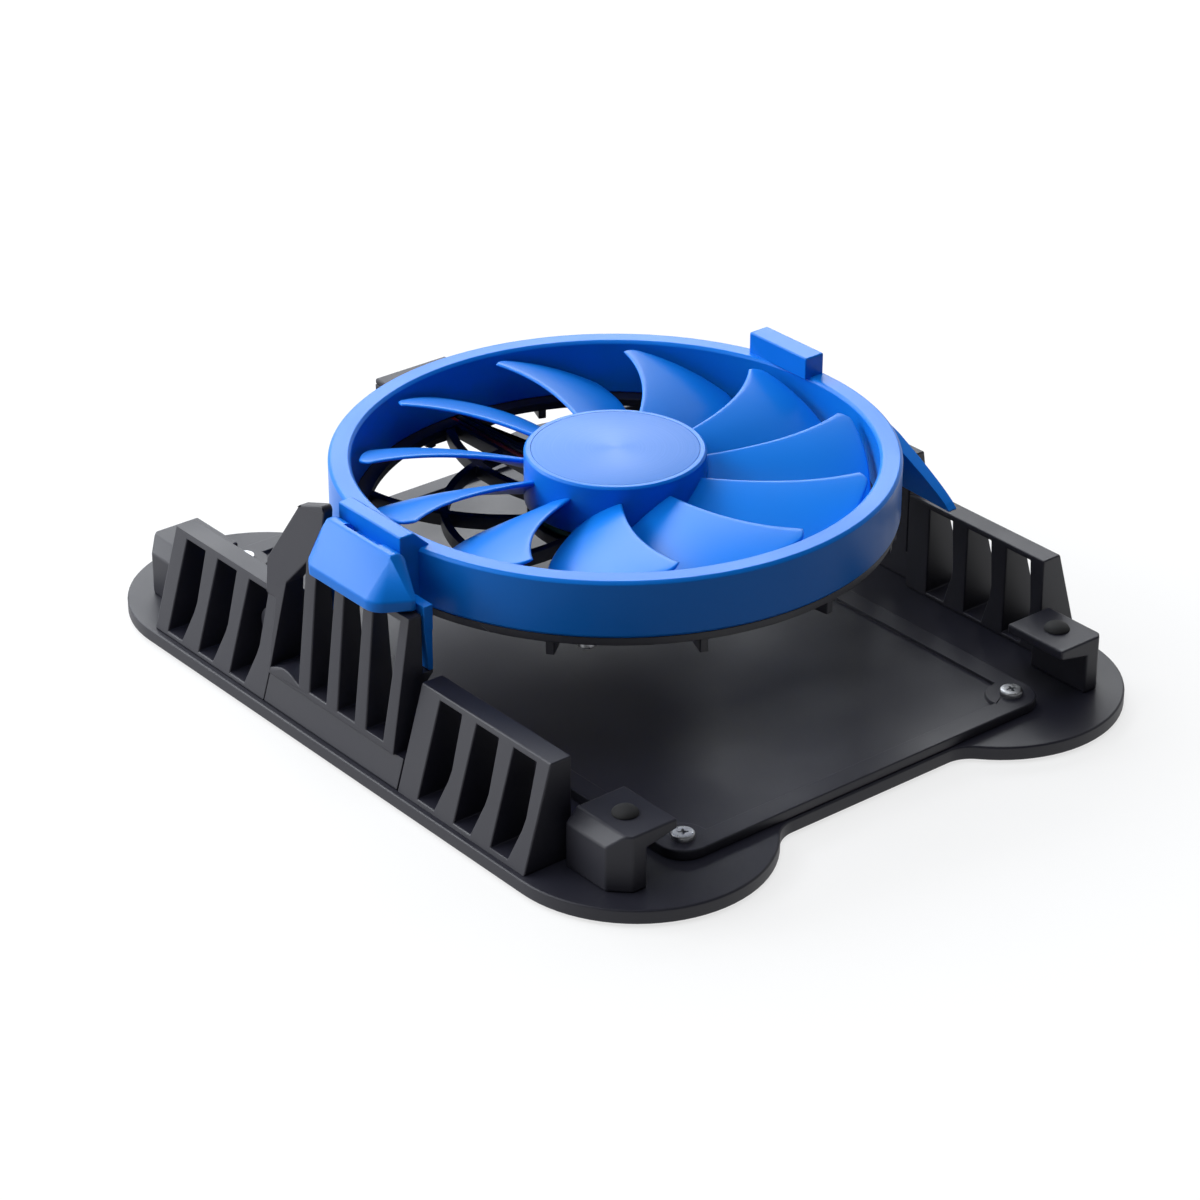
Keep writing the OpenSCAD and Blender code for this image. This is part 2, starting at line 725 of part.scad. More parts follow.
module left_rail() {
    on_side(-1) along_y(-bar_half, bar_half) left_rail_section(ring_r + left_rail_reach);
}

// The right rail, offset along Y: it overhangs the ring's inside, short of the blades, and goes down
// the ring's outer wall
module right_rail() {
    out = ring_r - right_rail_inset;
    in = ring_in_r - 0.6 * tip_gap;
    top = ring_top + right_rail_rise;
    under = ring_top - 0.6 * ring_bevel;
    along_y(right_rail_shift - right_rail_half, right_rail_shift + right_rail_half) polygon([
        [in, under], [ring_r - 2, under], [ring_r - 2, ring_z + 1], [out, ring_z + 1], [out, top], [in, top]
    ]);
}

// Swept fin at the near end of the right side block, which leads the device in under the fan
module guide_fin() {
    low = bay_z1 + seat_gap;
    rise = ring_top - 2.4 - low;
    root_y = -bar_half + 1;
    span = fin_reach + root_y;
    crest = [for (k = [0:12]) [-fin_reach + span * k / 12, low + 0.2 + rise * pow(k / 12, 0.8)]];
    intersection() {
        along_x(ring_in_r, bay_x) polygon(concat(crest, [
            [root_y, ring_z], [root_y - 3, ring_z], [-fin_reach / 2, low], [-fin_reach, low]
        ]));
        linear_extrude(ring_top) polygon([
            [ring_r - 1.3, -fin_reach], [ring_r - 1.3 + fin_t, -fin_reach], [bay_x - 0.7, -fin_reach / 2],
            [bay_x - 0.7, root_y], [ring_r - 0.4, root_y], [ring_r - 0.6, -fin_reach / 2]
        ]);
    }
}

// What the ring carries on each side: a block and an apron with two legs. The left block has the
// knuckle of the hinge, and the right legs have hooks
module ring_lug(side) {
    left = side < 0;
    near = left ? -upright_near : right_leg_near;
    block_top = left ? ring_top : ring_top - 3.6;
    apron_top = left ? tongue_z + 1 : ring_z + 2.2;
    on_side(side) difference() {
        union() {
            along_x(ring_in_r + ring_bevel, bay_x) translate([-bar_half, ring_z])
                square([2 * bar_half, block_top - ring_z]);
            if (left) {
                rod_y(lug_r, lug_knuckle_near, lug_knuckle_far, pin_x, pin_z);
                along_y(lug_knuckle_near, lug_knuckle_far) polygon([
                    [bay_x - 0.1, pin_z - knuckle_r], [pin_x, pin_z - lug_r],
                    [pin_x, pin_z], [bay_x - 0.1, pin_z + 0.2]
                ]);
            }
            along_y(near, leg_far) polygon([
                [bay_x - 0.1, ring_z], [bay_x + leg_t, ring_z],
                [bay_x + leg_t, apron_top], [bay_x - 0.1, apron_top]
            ]);
            for (y = [near, leg_far - leg_w]) {
                along_y(y, y + leg_w) polygon([
                    [bay_x, ring_z + 1], [bay_x + leg_t, ring_z + 1],
                    [bay_x + leg_t * 0.5, leg_z], [bay_x, leg_z]
                ]);
                if (!left) along_y(y, y + leg_w) polygon([
                    [bay_x + 0.4, hook_z], [upright_in + 0.5, hook_z + 0.4],
                    [upright_in + 0.5, hook_z + hook_h - 0.4], [bay_x + 0.4, hook_z + hook_h]
                ]);
            }
        }
        if (left) rod_y(pin_r + snug, lug_knuckle_near - 1, lug_knuckle_far + 1, pin_x, pin_z);
    }
}

module fan_ring() {
    b = ring_bevel;
    color(fan_blue) difference() {
        union() {
            rotate_extrude() polygon([
                [ring_in_r, ring_z], [ring_r - b, ring_z], [ring_r, ring_z + b],
                [ring_r, ring_top - b], [ring_r - b, ring_top], [ring_in_r + b, ring_top],
                [ring_in_r, ring_top - b]
            ]);
            for (s = [-1, 1]) ring_lug(s);
            left_rail();
            right_rail();
            guide_fin();
        }
        for (k = [0:3]) rotate([0, 0, 45 + 90 * k]) translate([fan_screw_at, 0, ring_z - 1])
            cylinder(r = fan_screw_r + snug, h = 1 + fan_screw_len - rim_t + 0.4);
    }
}

module left_hinge_pin() {
    color(steel_grey) on_side(-1) rod_y(pin_r, pin_near, pin_far, pin_x, pin_z);
}

// Lower outline of the clip in x and y, set in by t; the cavity is open towards the ring
clip_turn = 90 - atan2(clip_slant, clip_out - clip_in - 0.6);
function clip_soft(t) = (clip_corner_r - t) * tan(clip_turn / 2);
function clip_outline(t) = concat(
    [
        [t > 0 ? pin_x - 4 : clip_in, clip_far - t], [clip_out - 1 - t * 0.6, clip_far * 0.89 - t],
        [clip_out - t, clip_far * 0.635 - t * 0.5]
    ],
    arc([clip_out - clip_corner_r, clip_slant - clip_near + t * 0.5 + clip_soft(t)],
        clip_corner_r - t, 0, -clip_turn, 6),
    [
        [clip_in + 0.6, t * 1.15 - clip_near],
        [t > 0 ? pin_x - 4 : clip_in, t * 1.15 - clip_near]
    ]
);

// A hipped hood: its skirt at the bottom, and its knuckle along the hinge as its round ridge
module clip_hood() {
    hull() {
        translate([0, 0, skirt_z]) linear_extrude(skirt_h) polygon(clip_outline(0));
        rod_y(knuckle_r, ridge_near, ridge_far, pin_x, pin_z, $fn = 32);
    }
}

// The hollow of the hood, with walls of thickness t
module clip_hollow(t) {
    hull() {
        translate([0, 0, skirt_z - 1]) linear_extrude(skirt_h + 1 - t * 0.35) polygon(clip_outline(t));
        translate([pin_x - 4, ridge_near + t, pin_z + knuckle_r - t * 1.45 - 0.2])
            cube([4.2, ridge_far - ridge_near - 2 * t, 0.2]);
    }
}

// Section in x and z of what has to stay clear of the hinge block's arm while the clip swings
module arm_sweep() {
    first = 165 - clip_swing;
    last = 285;
    turns = [for (k = [0:8]) first + (last - first) * k / 8];
    translate([pin_x, pin_z]) polygon(concat([[0, 0]], [for (a = turns) 4 * [cos(a), sin(a)]]));
}

module left_clip() {
    y0 = lug_knuckle_near - seat_gap;
    y1 = lug_knuckle_far + seat_gap;
    color(fan_blue) on_side(-1) difference() {
        union() {
            difference() {
                clip_hood();
                clip_hollow(clip_t);
            }
            rod_y(knuckle_r - 0.1, ridge_near, ridge_far, pin_x, pin_z);
            // Bead that snaps under the catch of the upright
            along_y(tongue_near, tongue_far) polygon([
                [clip_out - clip_t + tiny, skirt_z], [clip_out - clip_t - bead_reach, skirt_z],
                [clip_out - clip_t - bead_reach, skirt_z + bead_h],
                [clip_out - clip_t + tiny, skirt_z + bead_h + bead_reach]
            ]);
        }
        rod_y(lug_r + 0.15, y0, y1, pin_x, pin_z);
        along_y(y0, y1) arm_sweep();
        rod_y(pin_r + running, ridge_near - 1, ridge_far + 1, pin_x, pin_z);
    }
}

// A point of a blade: i runs from root to tip, j from the leading to the trailing edge, s is its face
function blade_point(i, j, s) =
    let (u = i / span_steps, v = j / chord_steps)
    let (r = root_r + (tip_r - root_r) * u)
    let (angle = -blade_sweep * (1 - u * u) - (root_chord + (tip_chord - root_chord) * u) * v)
    let (lead_z = lead_root_z + (lead_tip_z - lead_root_z) * u)
    let (fall = (lead_z - blade_low) * (0.72 * v + 0.28 * v * v))
    let (t = (blade_root_t + (blade_tip_t - blade_root_t) * u) * (0.45 + 0.55 * sin(180 * v)))
    [r * cos(angle), r * sin(angle), lead_z - fall + s * t / 2];

blade_points = [
    for (s = [1, -1], i = [0:span_steps], j = [0:chord_steps]) blade_point(i, j, s)
];
function top_at(i, j) = i * (chord_steps + 1) + j;
function low_at(i, j) = (span_steps + 1) * (chord_steps + 1) + top_at(i, j);
function two(a, b, c, d) = [[a, b, c], [a, c, d]];
blade_faces = concat(
    [for (i = [0:span_steps - 1], j = [0:chord_steps - 1])
        each two(top_at(i, j), top_at(i + 1, j), top_at(i + 1, j + 1), top_at(i, j + 1))],
    [for (i = [0:span_steps - 1], j = [0:chord_steps - 1])
        each two(low_at(i, j), low_at(i, j + 1), low_at(i + 1, j + 1), low_at(i + 1, j))],
    [for (i = [0:span_steps - 1]) each concat(
        two(top_at(i + 1, 0), top_at(i, 0), low_at(i, 0), low_at(i + 1, 0)),
        two(top_at(i, chord_steps), top_at(i + 1, chord_steps),
            low_at(i + 1, chord_steps), low_at(i, chord_steps)))],
    [for (j = [0:chord_steps - 1]) each concat(
        two(top_at(0, j), top_at(0, j + 1), low_at(0, j + 1), low_at(0, j)),
        two(top_at(span_steps, j + 1), top_at(span_steps, j),
            low_at(span_steps, j), low_at(span_steps, j + 1)))]
);

module impeller() {
    color(fan_blue) difference() {
        union() {
            difference() {
                rotate_extrude() polygon([
                    [0, hub_z0], [hub_r, hub_z0], [hub_r, hub_top - hub_bevel],
                    [hub_r - hub_bevel, hub_top], [0, hub_top]
                ]);
                translate([0, 0, hub_z0 - 1]) cylinder(r = hub_in_r, h = hub_in_top - hub_z0 + 1);
            }
            translate([0, 0, boss_z]) cylinder(r = boss_r, h = hub_in_top - boss_z + tiny);
            for (k = [0:blade_count - 1]) rotate([0, 0, first_tip_angle + 180 + k * 360 / blade_count])
                polyhedron(points = blade_points, faces = blade_faces);
        }
        translate([0, 0, boss_z - 1]) cylinder(r = shaft_r + snug, h = hub_in_top - boss_z + 1.4);
        translate([0, 0, hub_top - cap_t]) cylinder(r = cap_r + running, h = 1);
    }
}

module hub_cap() {
    color([0.25, 0.50, 0.85]) translate([0, 0, hub_top - cap_t]) cylinder(r = cap_r, h = cap_t);
}

module rotor_yoke() {
    color(steel_grey) difference() {
        translate([0, 0, hub_z0 + 0.2]) cylinder(r = yoke_r, h = yoke_top - hub_z0 - 0.2);
        translate([0, 0, hub_z0]) cylinder(r = yoke_r - yoke_t, h = yoke_top - yoke_t - hub_z0);
        translate([0, 0, hub_z0]) cylinder(r = boss_r + snug, h = ring_h);
    }
}

module ring_magnet() {
    color([0.20, 0.20, 0.20]) hoop(magnet_r, magnet_in_r, core_z0 - 0.1, core_z1 + 0.4);
}

module fan_shaft() {
    color(steel_grey) difference() {
        translate([0, 0, shaft_z]) cylinder(r = shaft_r, h = hub_in_top + 0.3 - shaft_z);
        hoop(shaft_r + 1, groove_r, groove_z, groove_z + groove_h);
    }
}

// Split washer that keeps the shaft in its bearing
module shaft_clip() {
    color([0.85, 0.85, 0.80]) difference() {
        hoop(bearing_r - 0.2, groove_r + snug, groove_z + 0.05, groove_z + 0.05 + clip_ring_t);
        translate([0, -groove_r * 0.7, groove_z - 1]) cube([bearing_r, groove_r * 1.4, 3]);
    }
}

module sleeve_bearing() {
    color([0.70, 0.55, 0.30]) hoop(bearing_r, shaft_r + running, bearing_z, bearing_top);
}

module thrust_pad() {
    color([0.90, 0.90, 0.86]) translate([0, 0, thrust_z]) cylinder(r = bearing_r, h = thrust_t);
}

// Laminated core: a collar on the bearing tube, and teeth with curved shoes
module stator_core() {
    color([0.45, 0.45, 0.48]) translate([0, 0, core_z0]) linear_extrude(core_z1 - core_z0) difference() {
        union() {
            circle(tube_r + 1.2);
            intersection() {
                circle(core_r);
                for (k = [0:pole_count / 2 - 1]) rotate(k * 360 / pole_count)
                    square([3 * core_r, tooth_w], center = true);
            }
            intersection() {
                difference() {
                    circle(core_r);
                    circle(core_r - shoe_t);
                }
                for (k = [0:pole_count / 2 - 1]) rotate(k * 360 / pole_count)
                    square([3 * core_r, tooth_w * 1.9], center = true);
            }
        }
        circle(tube_r + snug);
    }
}

// One wound coil round each tooth
module stator_windings() {
    coil_in = tube_r + 1.4;
    coil_out = core_r - shoe_t - 0.2;
    coil_half = tooth_w / 2 + 0.7;
    color(copper) for (k = [0:pole_count - 1]) rotate([0, 0, k * 360 / pole_count]) difference() {
        along_x(coil_in, coil_out) round_coil(coil_half, core_z0 - coil_rise, core_z1 + coil_rise);
        along_x(coil_in - 1, coil_out + 1)
            round_coil(tooth_w / 2 + running, core_z0 - running, core_z1 + running, 0.02);
    }
}

// Outline of a coil in y and z
module round_coil(half, z0, z1, r = 0.5) {
    translate([0, (z0 + z1) / 2]) round_rect(half, (z1 - z0) / 2, r);
}

module motor_board() {
    color(board_green) hoop(board_r, tube_r + snug, mount_top, board_top);
}

// A curved vane in x and y, from the motor mount to the rim
module vane_outline() {
    intersection() {
        difference() {
            circle(rim_in_r + 0.6);
            circle(mount_r - 0.6);
        }
        translate([vane_curve_r, 0]) difference() {
            circle(vane_curve_r + vane_t / 2);
            circle(vane_curve_r - vane_t / 2);
        }
        translate([-ring_r, 0]) square([2 * ring_r, ring_r]);
    }
}

module lower_grille() {
    color(stand_black) difference() {
        union() {
            hoop(rim_out_r, rim_in_r, rim_z, ring_z);
            translate([0, 0, mount_z]) cylinder(r = mount_r, h = mount_t);
            translate([0, 0, mount_top - tiny]) cylinder(r = tube_r, h = tube_top - mount_top + tiny);
            translate([0, 0, vane_z]) linear_extrude(vane_h) {
                for (k = [0:vane_count - 1]) rotate(k * 360 / vane_count) vane_outline();
                difference() {
                    circle(hoop_r + hoop_w / 2);
                    circle(hoop_r - hoop_w / 2);
                }
            }
            for (k = [0:standoff_count - 1]) rotate([0, 0, 8 + k * 360 / standoff_count])
                translate([rim_in_r + 1.6, -0.6, bay_z1]) cube([rim_w - 2, 1.2, standoff_h + tiny]);
            // Arm that carries the leads, and the housing of the power inlet
            translate([-arm_half, mount_r - 1, vane_z]) cube([2 * arm_half, rim_in_r - mount_r + 2, vane_h]);
            translate([-pod_half, rim_in_r + 1, pod_z])
                cube([2 * pod_half, pod_y1 - rim_in_r - 1, min(pod_floor_top, ring_z) - pod_z]);
            translate([-pod_half, pod_y0, pod_z]) cube([2 * pod_half, pod_y1 - pod_y0, pod_top - pod_z]);
        }
        // Bearing pocket
        translate([0, 0, thrust_z]) cylinder(r = tube_in_r, h = tube_top);
        // Lead groove
        translate([-lead_half, board_r - 0.1, groove_bottom]) cube([2 * lead_half, pod_y0 + 1, 5]);
        // Inside of the inlet's housing, with the opening for the inlet
        translate([-pod_half + pod_wall, pod_y0 + 0.4, pod_floor_top])
            cube([2 * (pod_half - pod_wall), pod_y1 - pod_y0 - pod_wall - 0.4, pod_top]);
        translate([0, pod_y1 + 1, inlet_z + inlet_h / 2]) rotate([90, 0, 0]) linear_extrude(pod_wall + 2)
            round_rect(inlet_w / 2 + running, inlet_h / 2 + running, inlet_h / 2 + running - tiny);
        for (k = [0:3]) rotate([0, 0, 45 + 90 * k]) translate([fan_screw_at, 0, bay_z1])
            cylinder(r = fan_screw_r + running, h = ring_h);
    }
}

module fan_screws() {
    color(steel_grey) for (k = [0:3]) rotate([0, 0, 45 + 90 * k])
        translate([fan_screw_at, 0, rim_z - fan_screw_head_h])
            screw(fan_screw_r, fan_screw_head_r, fan_screw_head_h, fan_screw_len);
}

// Section of the inlet in x and z, grown by g
module inlet_outline(g) {
    translate([0, inlet_z + inlet_h / 2])
        round_rect(inlet_w / 2 + g, inlet_h / 2 + g, inlet_h / 2 + g - tiny);
}

module power_inlet() {
    color(steel_grey) difference() {
        along_y(inlet_y1 - inlet_len, inlet_y1) inlet_outline(0);
        along_y(inlet_y1 - inlet_len + 0.6, inlet_y1 + 1) inlet_outline(-inlet_wall);
    }
}

module inlet_tongue() {
    color([0.08, 0.08, 0.08])
        translate([-inlet_w * 0.37, inlet_y1 - inlet_len + 0.6, inlet_z + inlet_h / 2 - tongue_t / 2])
            cube([inlet_w * 0.74, inlet_len - 1.2, tongue_t]);
}

module power_board() {
    color(board_green) translate([-pod_half + pod_wall + 0.1, pod_y0 + 0.5, pod_floor_top])
        cube([2 * (pod_half - pod_wall - 0.1), pod_y1 - pod_y0 - pod_wall - 0.6, power_board_t]);
}

module inlet_lid() {
    color(stand_black) translate([-pod_half, pod_y0, pod_top]) cube([2 * pod_half, pod_y1 - pod_y0, lid_t]);
}

module motor_leads() {
    color([0.60, 0.10, 0.10]) for (s = [-1, 1])
        rod_y(lead_r, board_r + 0.05, pod_y0 + 0.45, s * lead_step / 2, lead_z);
}

base_plate();
rubber_feet();
base_screws();
support_tray();
tray_screws();
left_front_louvre();
left_rear_louvre();
right_front_louvre();
right_rear_louvre();
left_upright();
right_upright();
left_front_post();
left_rear_post();
right_front_post();
right_rear_post();
rest_bumpers();
fan_ring();
left_hinge_pin();
left_clip();
impeller();
hub_cap();
rotor_yoke();
ring_magnet();
fan_shaft();
shaft_clip();
sleeve_bearing();
thrust_pad();
stator_core();
stator_windings();
motor_board();
lower_grille();
fan_screws();
power_inlet();
inlet_tongue();
power_board();
inlet_lid();
motor_leads();
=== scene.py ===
import json
import math

import bmesh
import bpy
from mathutils import Matrix, Vector, kdtree


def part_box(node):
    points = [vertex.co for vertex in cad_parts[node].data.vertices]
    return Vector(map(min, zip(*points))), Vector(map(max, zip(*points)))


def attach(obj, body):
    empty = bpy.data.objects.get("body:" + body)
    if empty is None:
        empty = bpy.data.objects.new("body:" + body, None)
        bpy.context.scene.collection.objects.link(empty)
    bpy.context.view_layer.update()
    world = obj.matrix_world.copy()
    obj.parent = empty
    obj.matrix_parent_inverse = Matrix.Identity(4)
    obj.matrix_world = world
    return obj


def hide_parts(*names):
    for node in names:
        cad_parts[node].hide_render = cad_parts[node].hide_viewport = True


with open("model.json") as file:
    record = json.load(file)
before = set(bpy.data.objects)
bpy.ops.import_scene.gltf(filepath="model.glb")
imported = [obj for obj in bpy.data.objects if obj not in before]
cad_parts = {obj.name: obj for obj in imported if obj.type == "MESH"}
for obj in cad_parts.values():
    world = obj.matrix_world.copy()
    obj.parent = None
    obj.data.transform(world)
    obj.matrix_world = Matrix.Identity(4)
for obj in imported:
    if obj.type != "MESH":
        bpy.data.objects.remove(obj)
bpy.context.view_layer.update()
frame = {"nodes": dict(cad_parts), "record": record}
print("frame loaded:", len(frame["nodes"]), "CAD nodes")

mm = 0.001
cadNodes = frame["nodes"]
bodyOf = {n: b for b, names in frame["record"]["behaviour"]["bodies"].items() for n in names}
slotOf = {row["node"]: row["material_slot"] for row in frame["record"]["subparts"]}
scene = bpy.context.scene
scene.view_settings.view_transform = "Standard"


# shader node groups that several finishes share

def addNode(tree, kind, values=None, **settings):
    node = tree.nodes.new(kind)
    for key, value in settings.items():
        setattr(node, key, value)
    for key, value in (values or {}).items():
        node.inputs[key].default_value = value
    return node


def newGroup(name, second, extra):
    # a finish group: two tones and a roughness range in; colour, roughness and height out
    group = bpy.data.node_groups.new(name, "ShaderNodeTree")
    inputs = [("Vector", "NodeSocketVector"), ("Base", "NodeSocketColor"), (second, "NodeSocketColor")]
    inputs += extra + [("Rough Low", "NodeSocketFloat"), ("Rough High", "NodeSocketFloat")]
    outputs = [("Color", "NodeSocketColor"), ("Roughness", "NodeSocketFloat"), ("Height", "NodeSocketFloat")]
    for way, rows in (("INPUT", inputs), ("OUTPUT", outputs)):
        for label, kind in rows:
            group.interface.new_socket(label, in_out=way, socket_type=kind)
    return group, group.nodes.new("NodeGroupInput"), group.nodes.new("NodeGroupOutput")


def spreadMask(group, texture):
    # the middle of a noise stretched to the full range
    spread = addNode(group, "ShaderNodeMapRange", {"From Min": 0.3, "From Max": 0.7})
    group.links.new(texture.outputs["Fac"], spread.inputs["Value"])
    return spread.outputs["Result"]


def closeGroup(group, gin, gout, mask, second, height, gloss=None, glossTop=1.0):
    # mixes the two tones by the mask, turns the mask or a value of its own into roughness
    link = group.links.new
    tone = addNode(group, "ShaderNodeMix", data_type="RGBA")
    link(mask, tone.inputs["Factor"])
    link(gin.outputs["Base"], tone.inputs["A"])
    link(gin.outputs[second], tone.inputs["B"])
    rough = addNode(group, "ShaderNodeMapRange", {"From Min": 0.0, "From Max": glossTop})
    link(gloss or mask, rough.inputs["Value"])
    link(gin.outputs["Rough Low"], rough.inputs["To Min"])
    link(gin.outputs["Rough High"], rough.inputs["To Max"])
    link(tone.outputs["Result"], gout.inputs["Color"])
    link(rough.outputs["Result"], gout.inputs["Roughness"])
    link(height, gout.inputs["Height"])
    return group


def mouldedGroup():
    # moulded plastic and rubber: fine spark grain, and a slow drift of tone and gloss
    group, gin, gout = newGroup("mouldedFinish", "Drift", [
        ("Grain Scale", "NodeSocketFloat"), ("Drift Scale", "NodeSocketFloat")])
    link = group.links.new
    grain = addNode(group, "ShaderNodeTexNoise", {"Detail": 3.0, "Roughness": 0.6})
    drift = addNode(group, "ShaderNodeTexNoise", {"Detail": 2.0, "Roughness": 0.5})
    for noise, scale in ((grain, "Grain Scale"), (drift, "Drift Scale")):
        link(gin.outputs["Vector"], noise.inputs["Vector"])
        link(gin.outputs[scale], noise.inputs["Scale"])
    mask = spreadMask(group, drift)
    blend = addNode(group, "ShaderNodeMath", {1: 0.5}, operation="MULTIPLY_ADD")
    link(grain.outputs["Fac"], blend.inputs[0])
    link(mask, blend.inputs[2])
    return closeGroup(group, gin, gout, mask, "Drift", grain.outputs["Fac"], blend.outputs[0], 1.4)


def metalGroup():
    # plated or ground metal: streaks that run along one direction, given by the stretch
    group, gin, gout = newGroup("streakedMetal", "Streak", [("Stretch", "NodeSocketVector")])
    link = group.links.new
    scaled = addNode(group, "ShaderNodeVectorMath", operation="MULTIPLY")
    link(gin.outputs["Vector"], scaled.inputs[0])
    link(gin.outputs["Stretch"], scaled.inputs[1])
    streak = addNode(group, "ShaderNodeTexNoise", {"Scale": 1.0, "Detail": 3.0})
    link(scaled.outputs["Vector"], streak.inputs["Vector"])
    return closeGroup(group, gin, gout, spreadMask(group, streak), "Streak", streak.outputs["Fac"])


def spunGroup():
    # concentric tool marks about the Z axis
    group, gin, gout = newGroup("spunRings", "Mark", [("Pitch Scale", "NodeSocketFloat")])
    link = group.links.new
    flat = addNode(group, "ShaderNodeVectorMath", {1: (1, 1, 0)}, operation="MULTIPLY")
    link(gin.outputs["Vector"], flat.inputs[0])
    radius = addNode(group, "ShaderNodeVectorMath", operation="LENGTH")
    link(flat.outputs["Vector"], radius.inputs[0])
    rings = addNode(group, "ShaderNodeTexNoise", {"Detail": 3.0, "Roughness": 0.7}, noise_dimensions="1D")
    link(radius.outputs["Value"], rings.inputs["W"])
    link(gin.outputs["Pitch Scale"], rings.inputs["Scale"])
    return closeGroup(group, gin, gout, spreadMask(group, rings), "Mark", rings.outputs["Fac"])


finishGroups = {"moulded": mouldedGroup(), "metal": metalGroup(), "spun": spunGroup()}


def finish(name, groupName, inputs, bump, distance, plain=None):
    # one material: a shared group feeds colour, roughness and bump of its own Principled shader
    mat = bpy.data.materials.new(name)
    mat.use_nodes = True
    tree = mat.node_tree
    tree.nodes.clear()
    out = addNode(tree, "ShaderNodeOutputMaterial")
    shader = addNode(tree, "ShaderNodeBsdfPrincipled", plain or {})
    group = addNode(tree, "ShaderNodeGroup")
    group.node_tree = finishGroups[groupName]
    for key, value in inputs.items():
        group.inputs[key].default_value = value
    place = addNode(tree, "ShaderNodeTexCoord")
    relief = addNode(tree, "ShaderNodeBump", {"Strength": bump, "Distance": distance})
    tree.links.new(place.outputs["Object"], group.inputs["Vector"])
    tree.links.new(group.outputs["Color"], shader.inputs["Base Color"])
    tree.links.new(group.outputs["Roughness"], shader.inputs["Roughness"])
    tree.links.new(group.outputs["Height"], relief.inputs["Height"])
    tree.links.new(relief.outputs["Normal"], shader.inputs["Normal"])
    tree.links.new(shader.outputs["BSDF"], out.inputs["Surface"])
    return mat


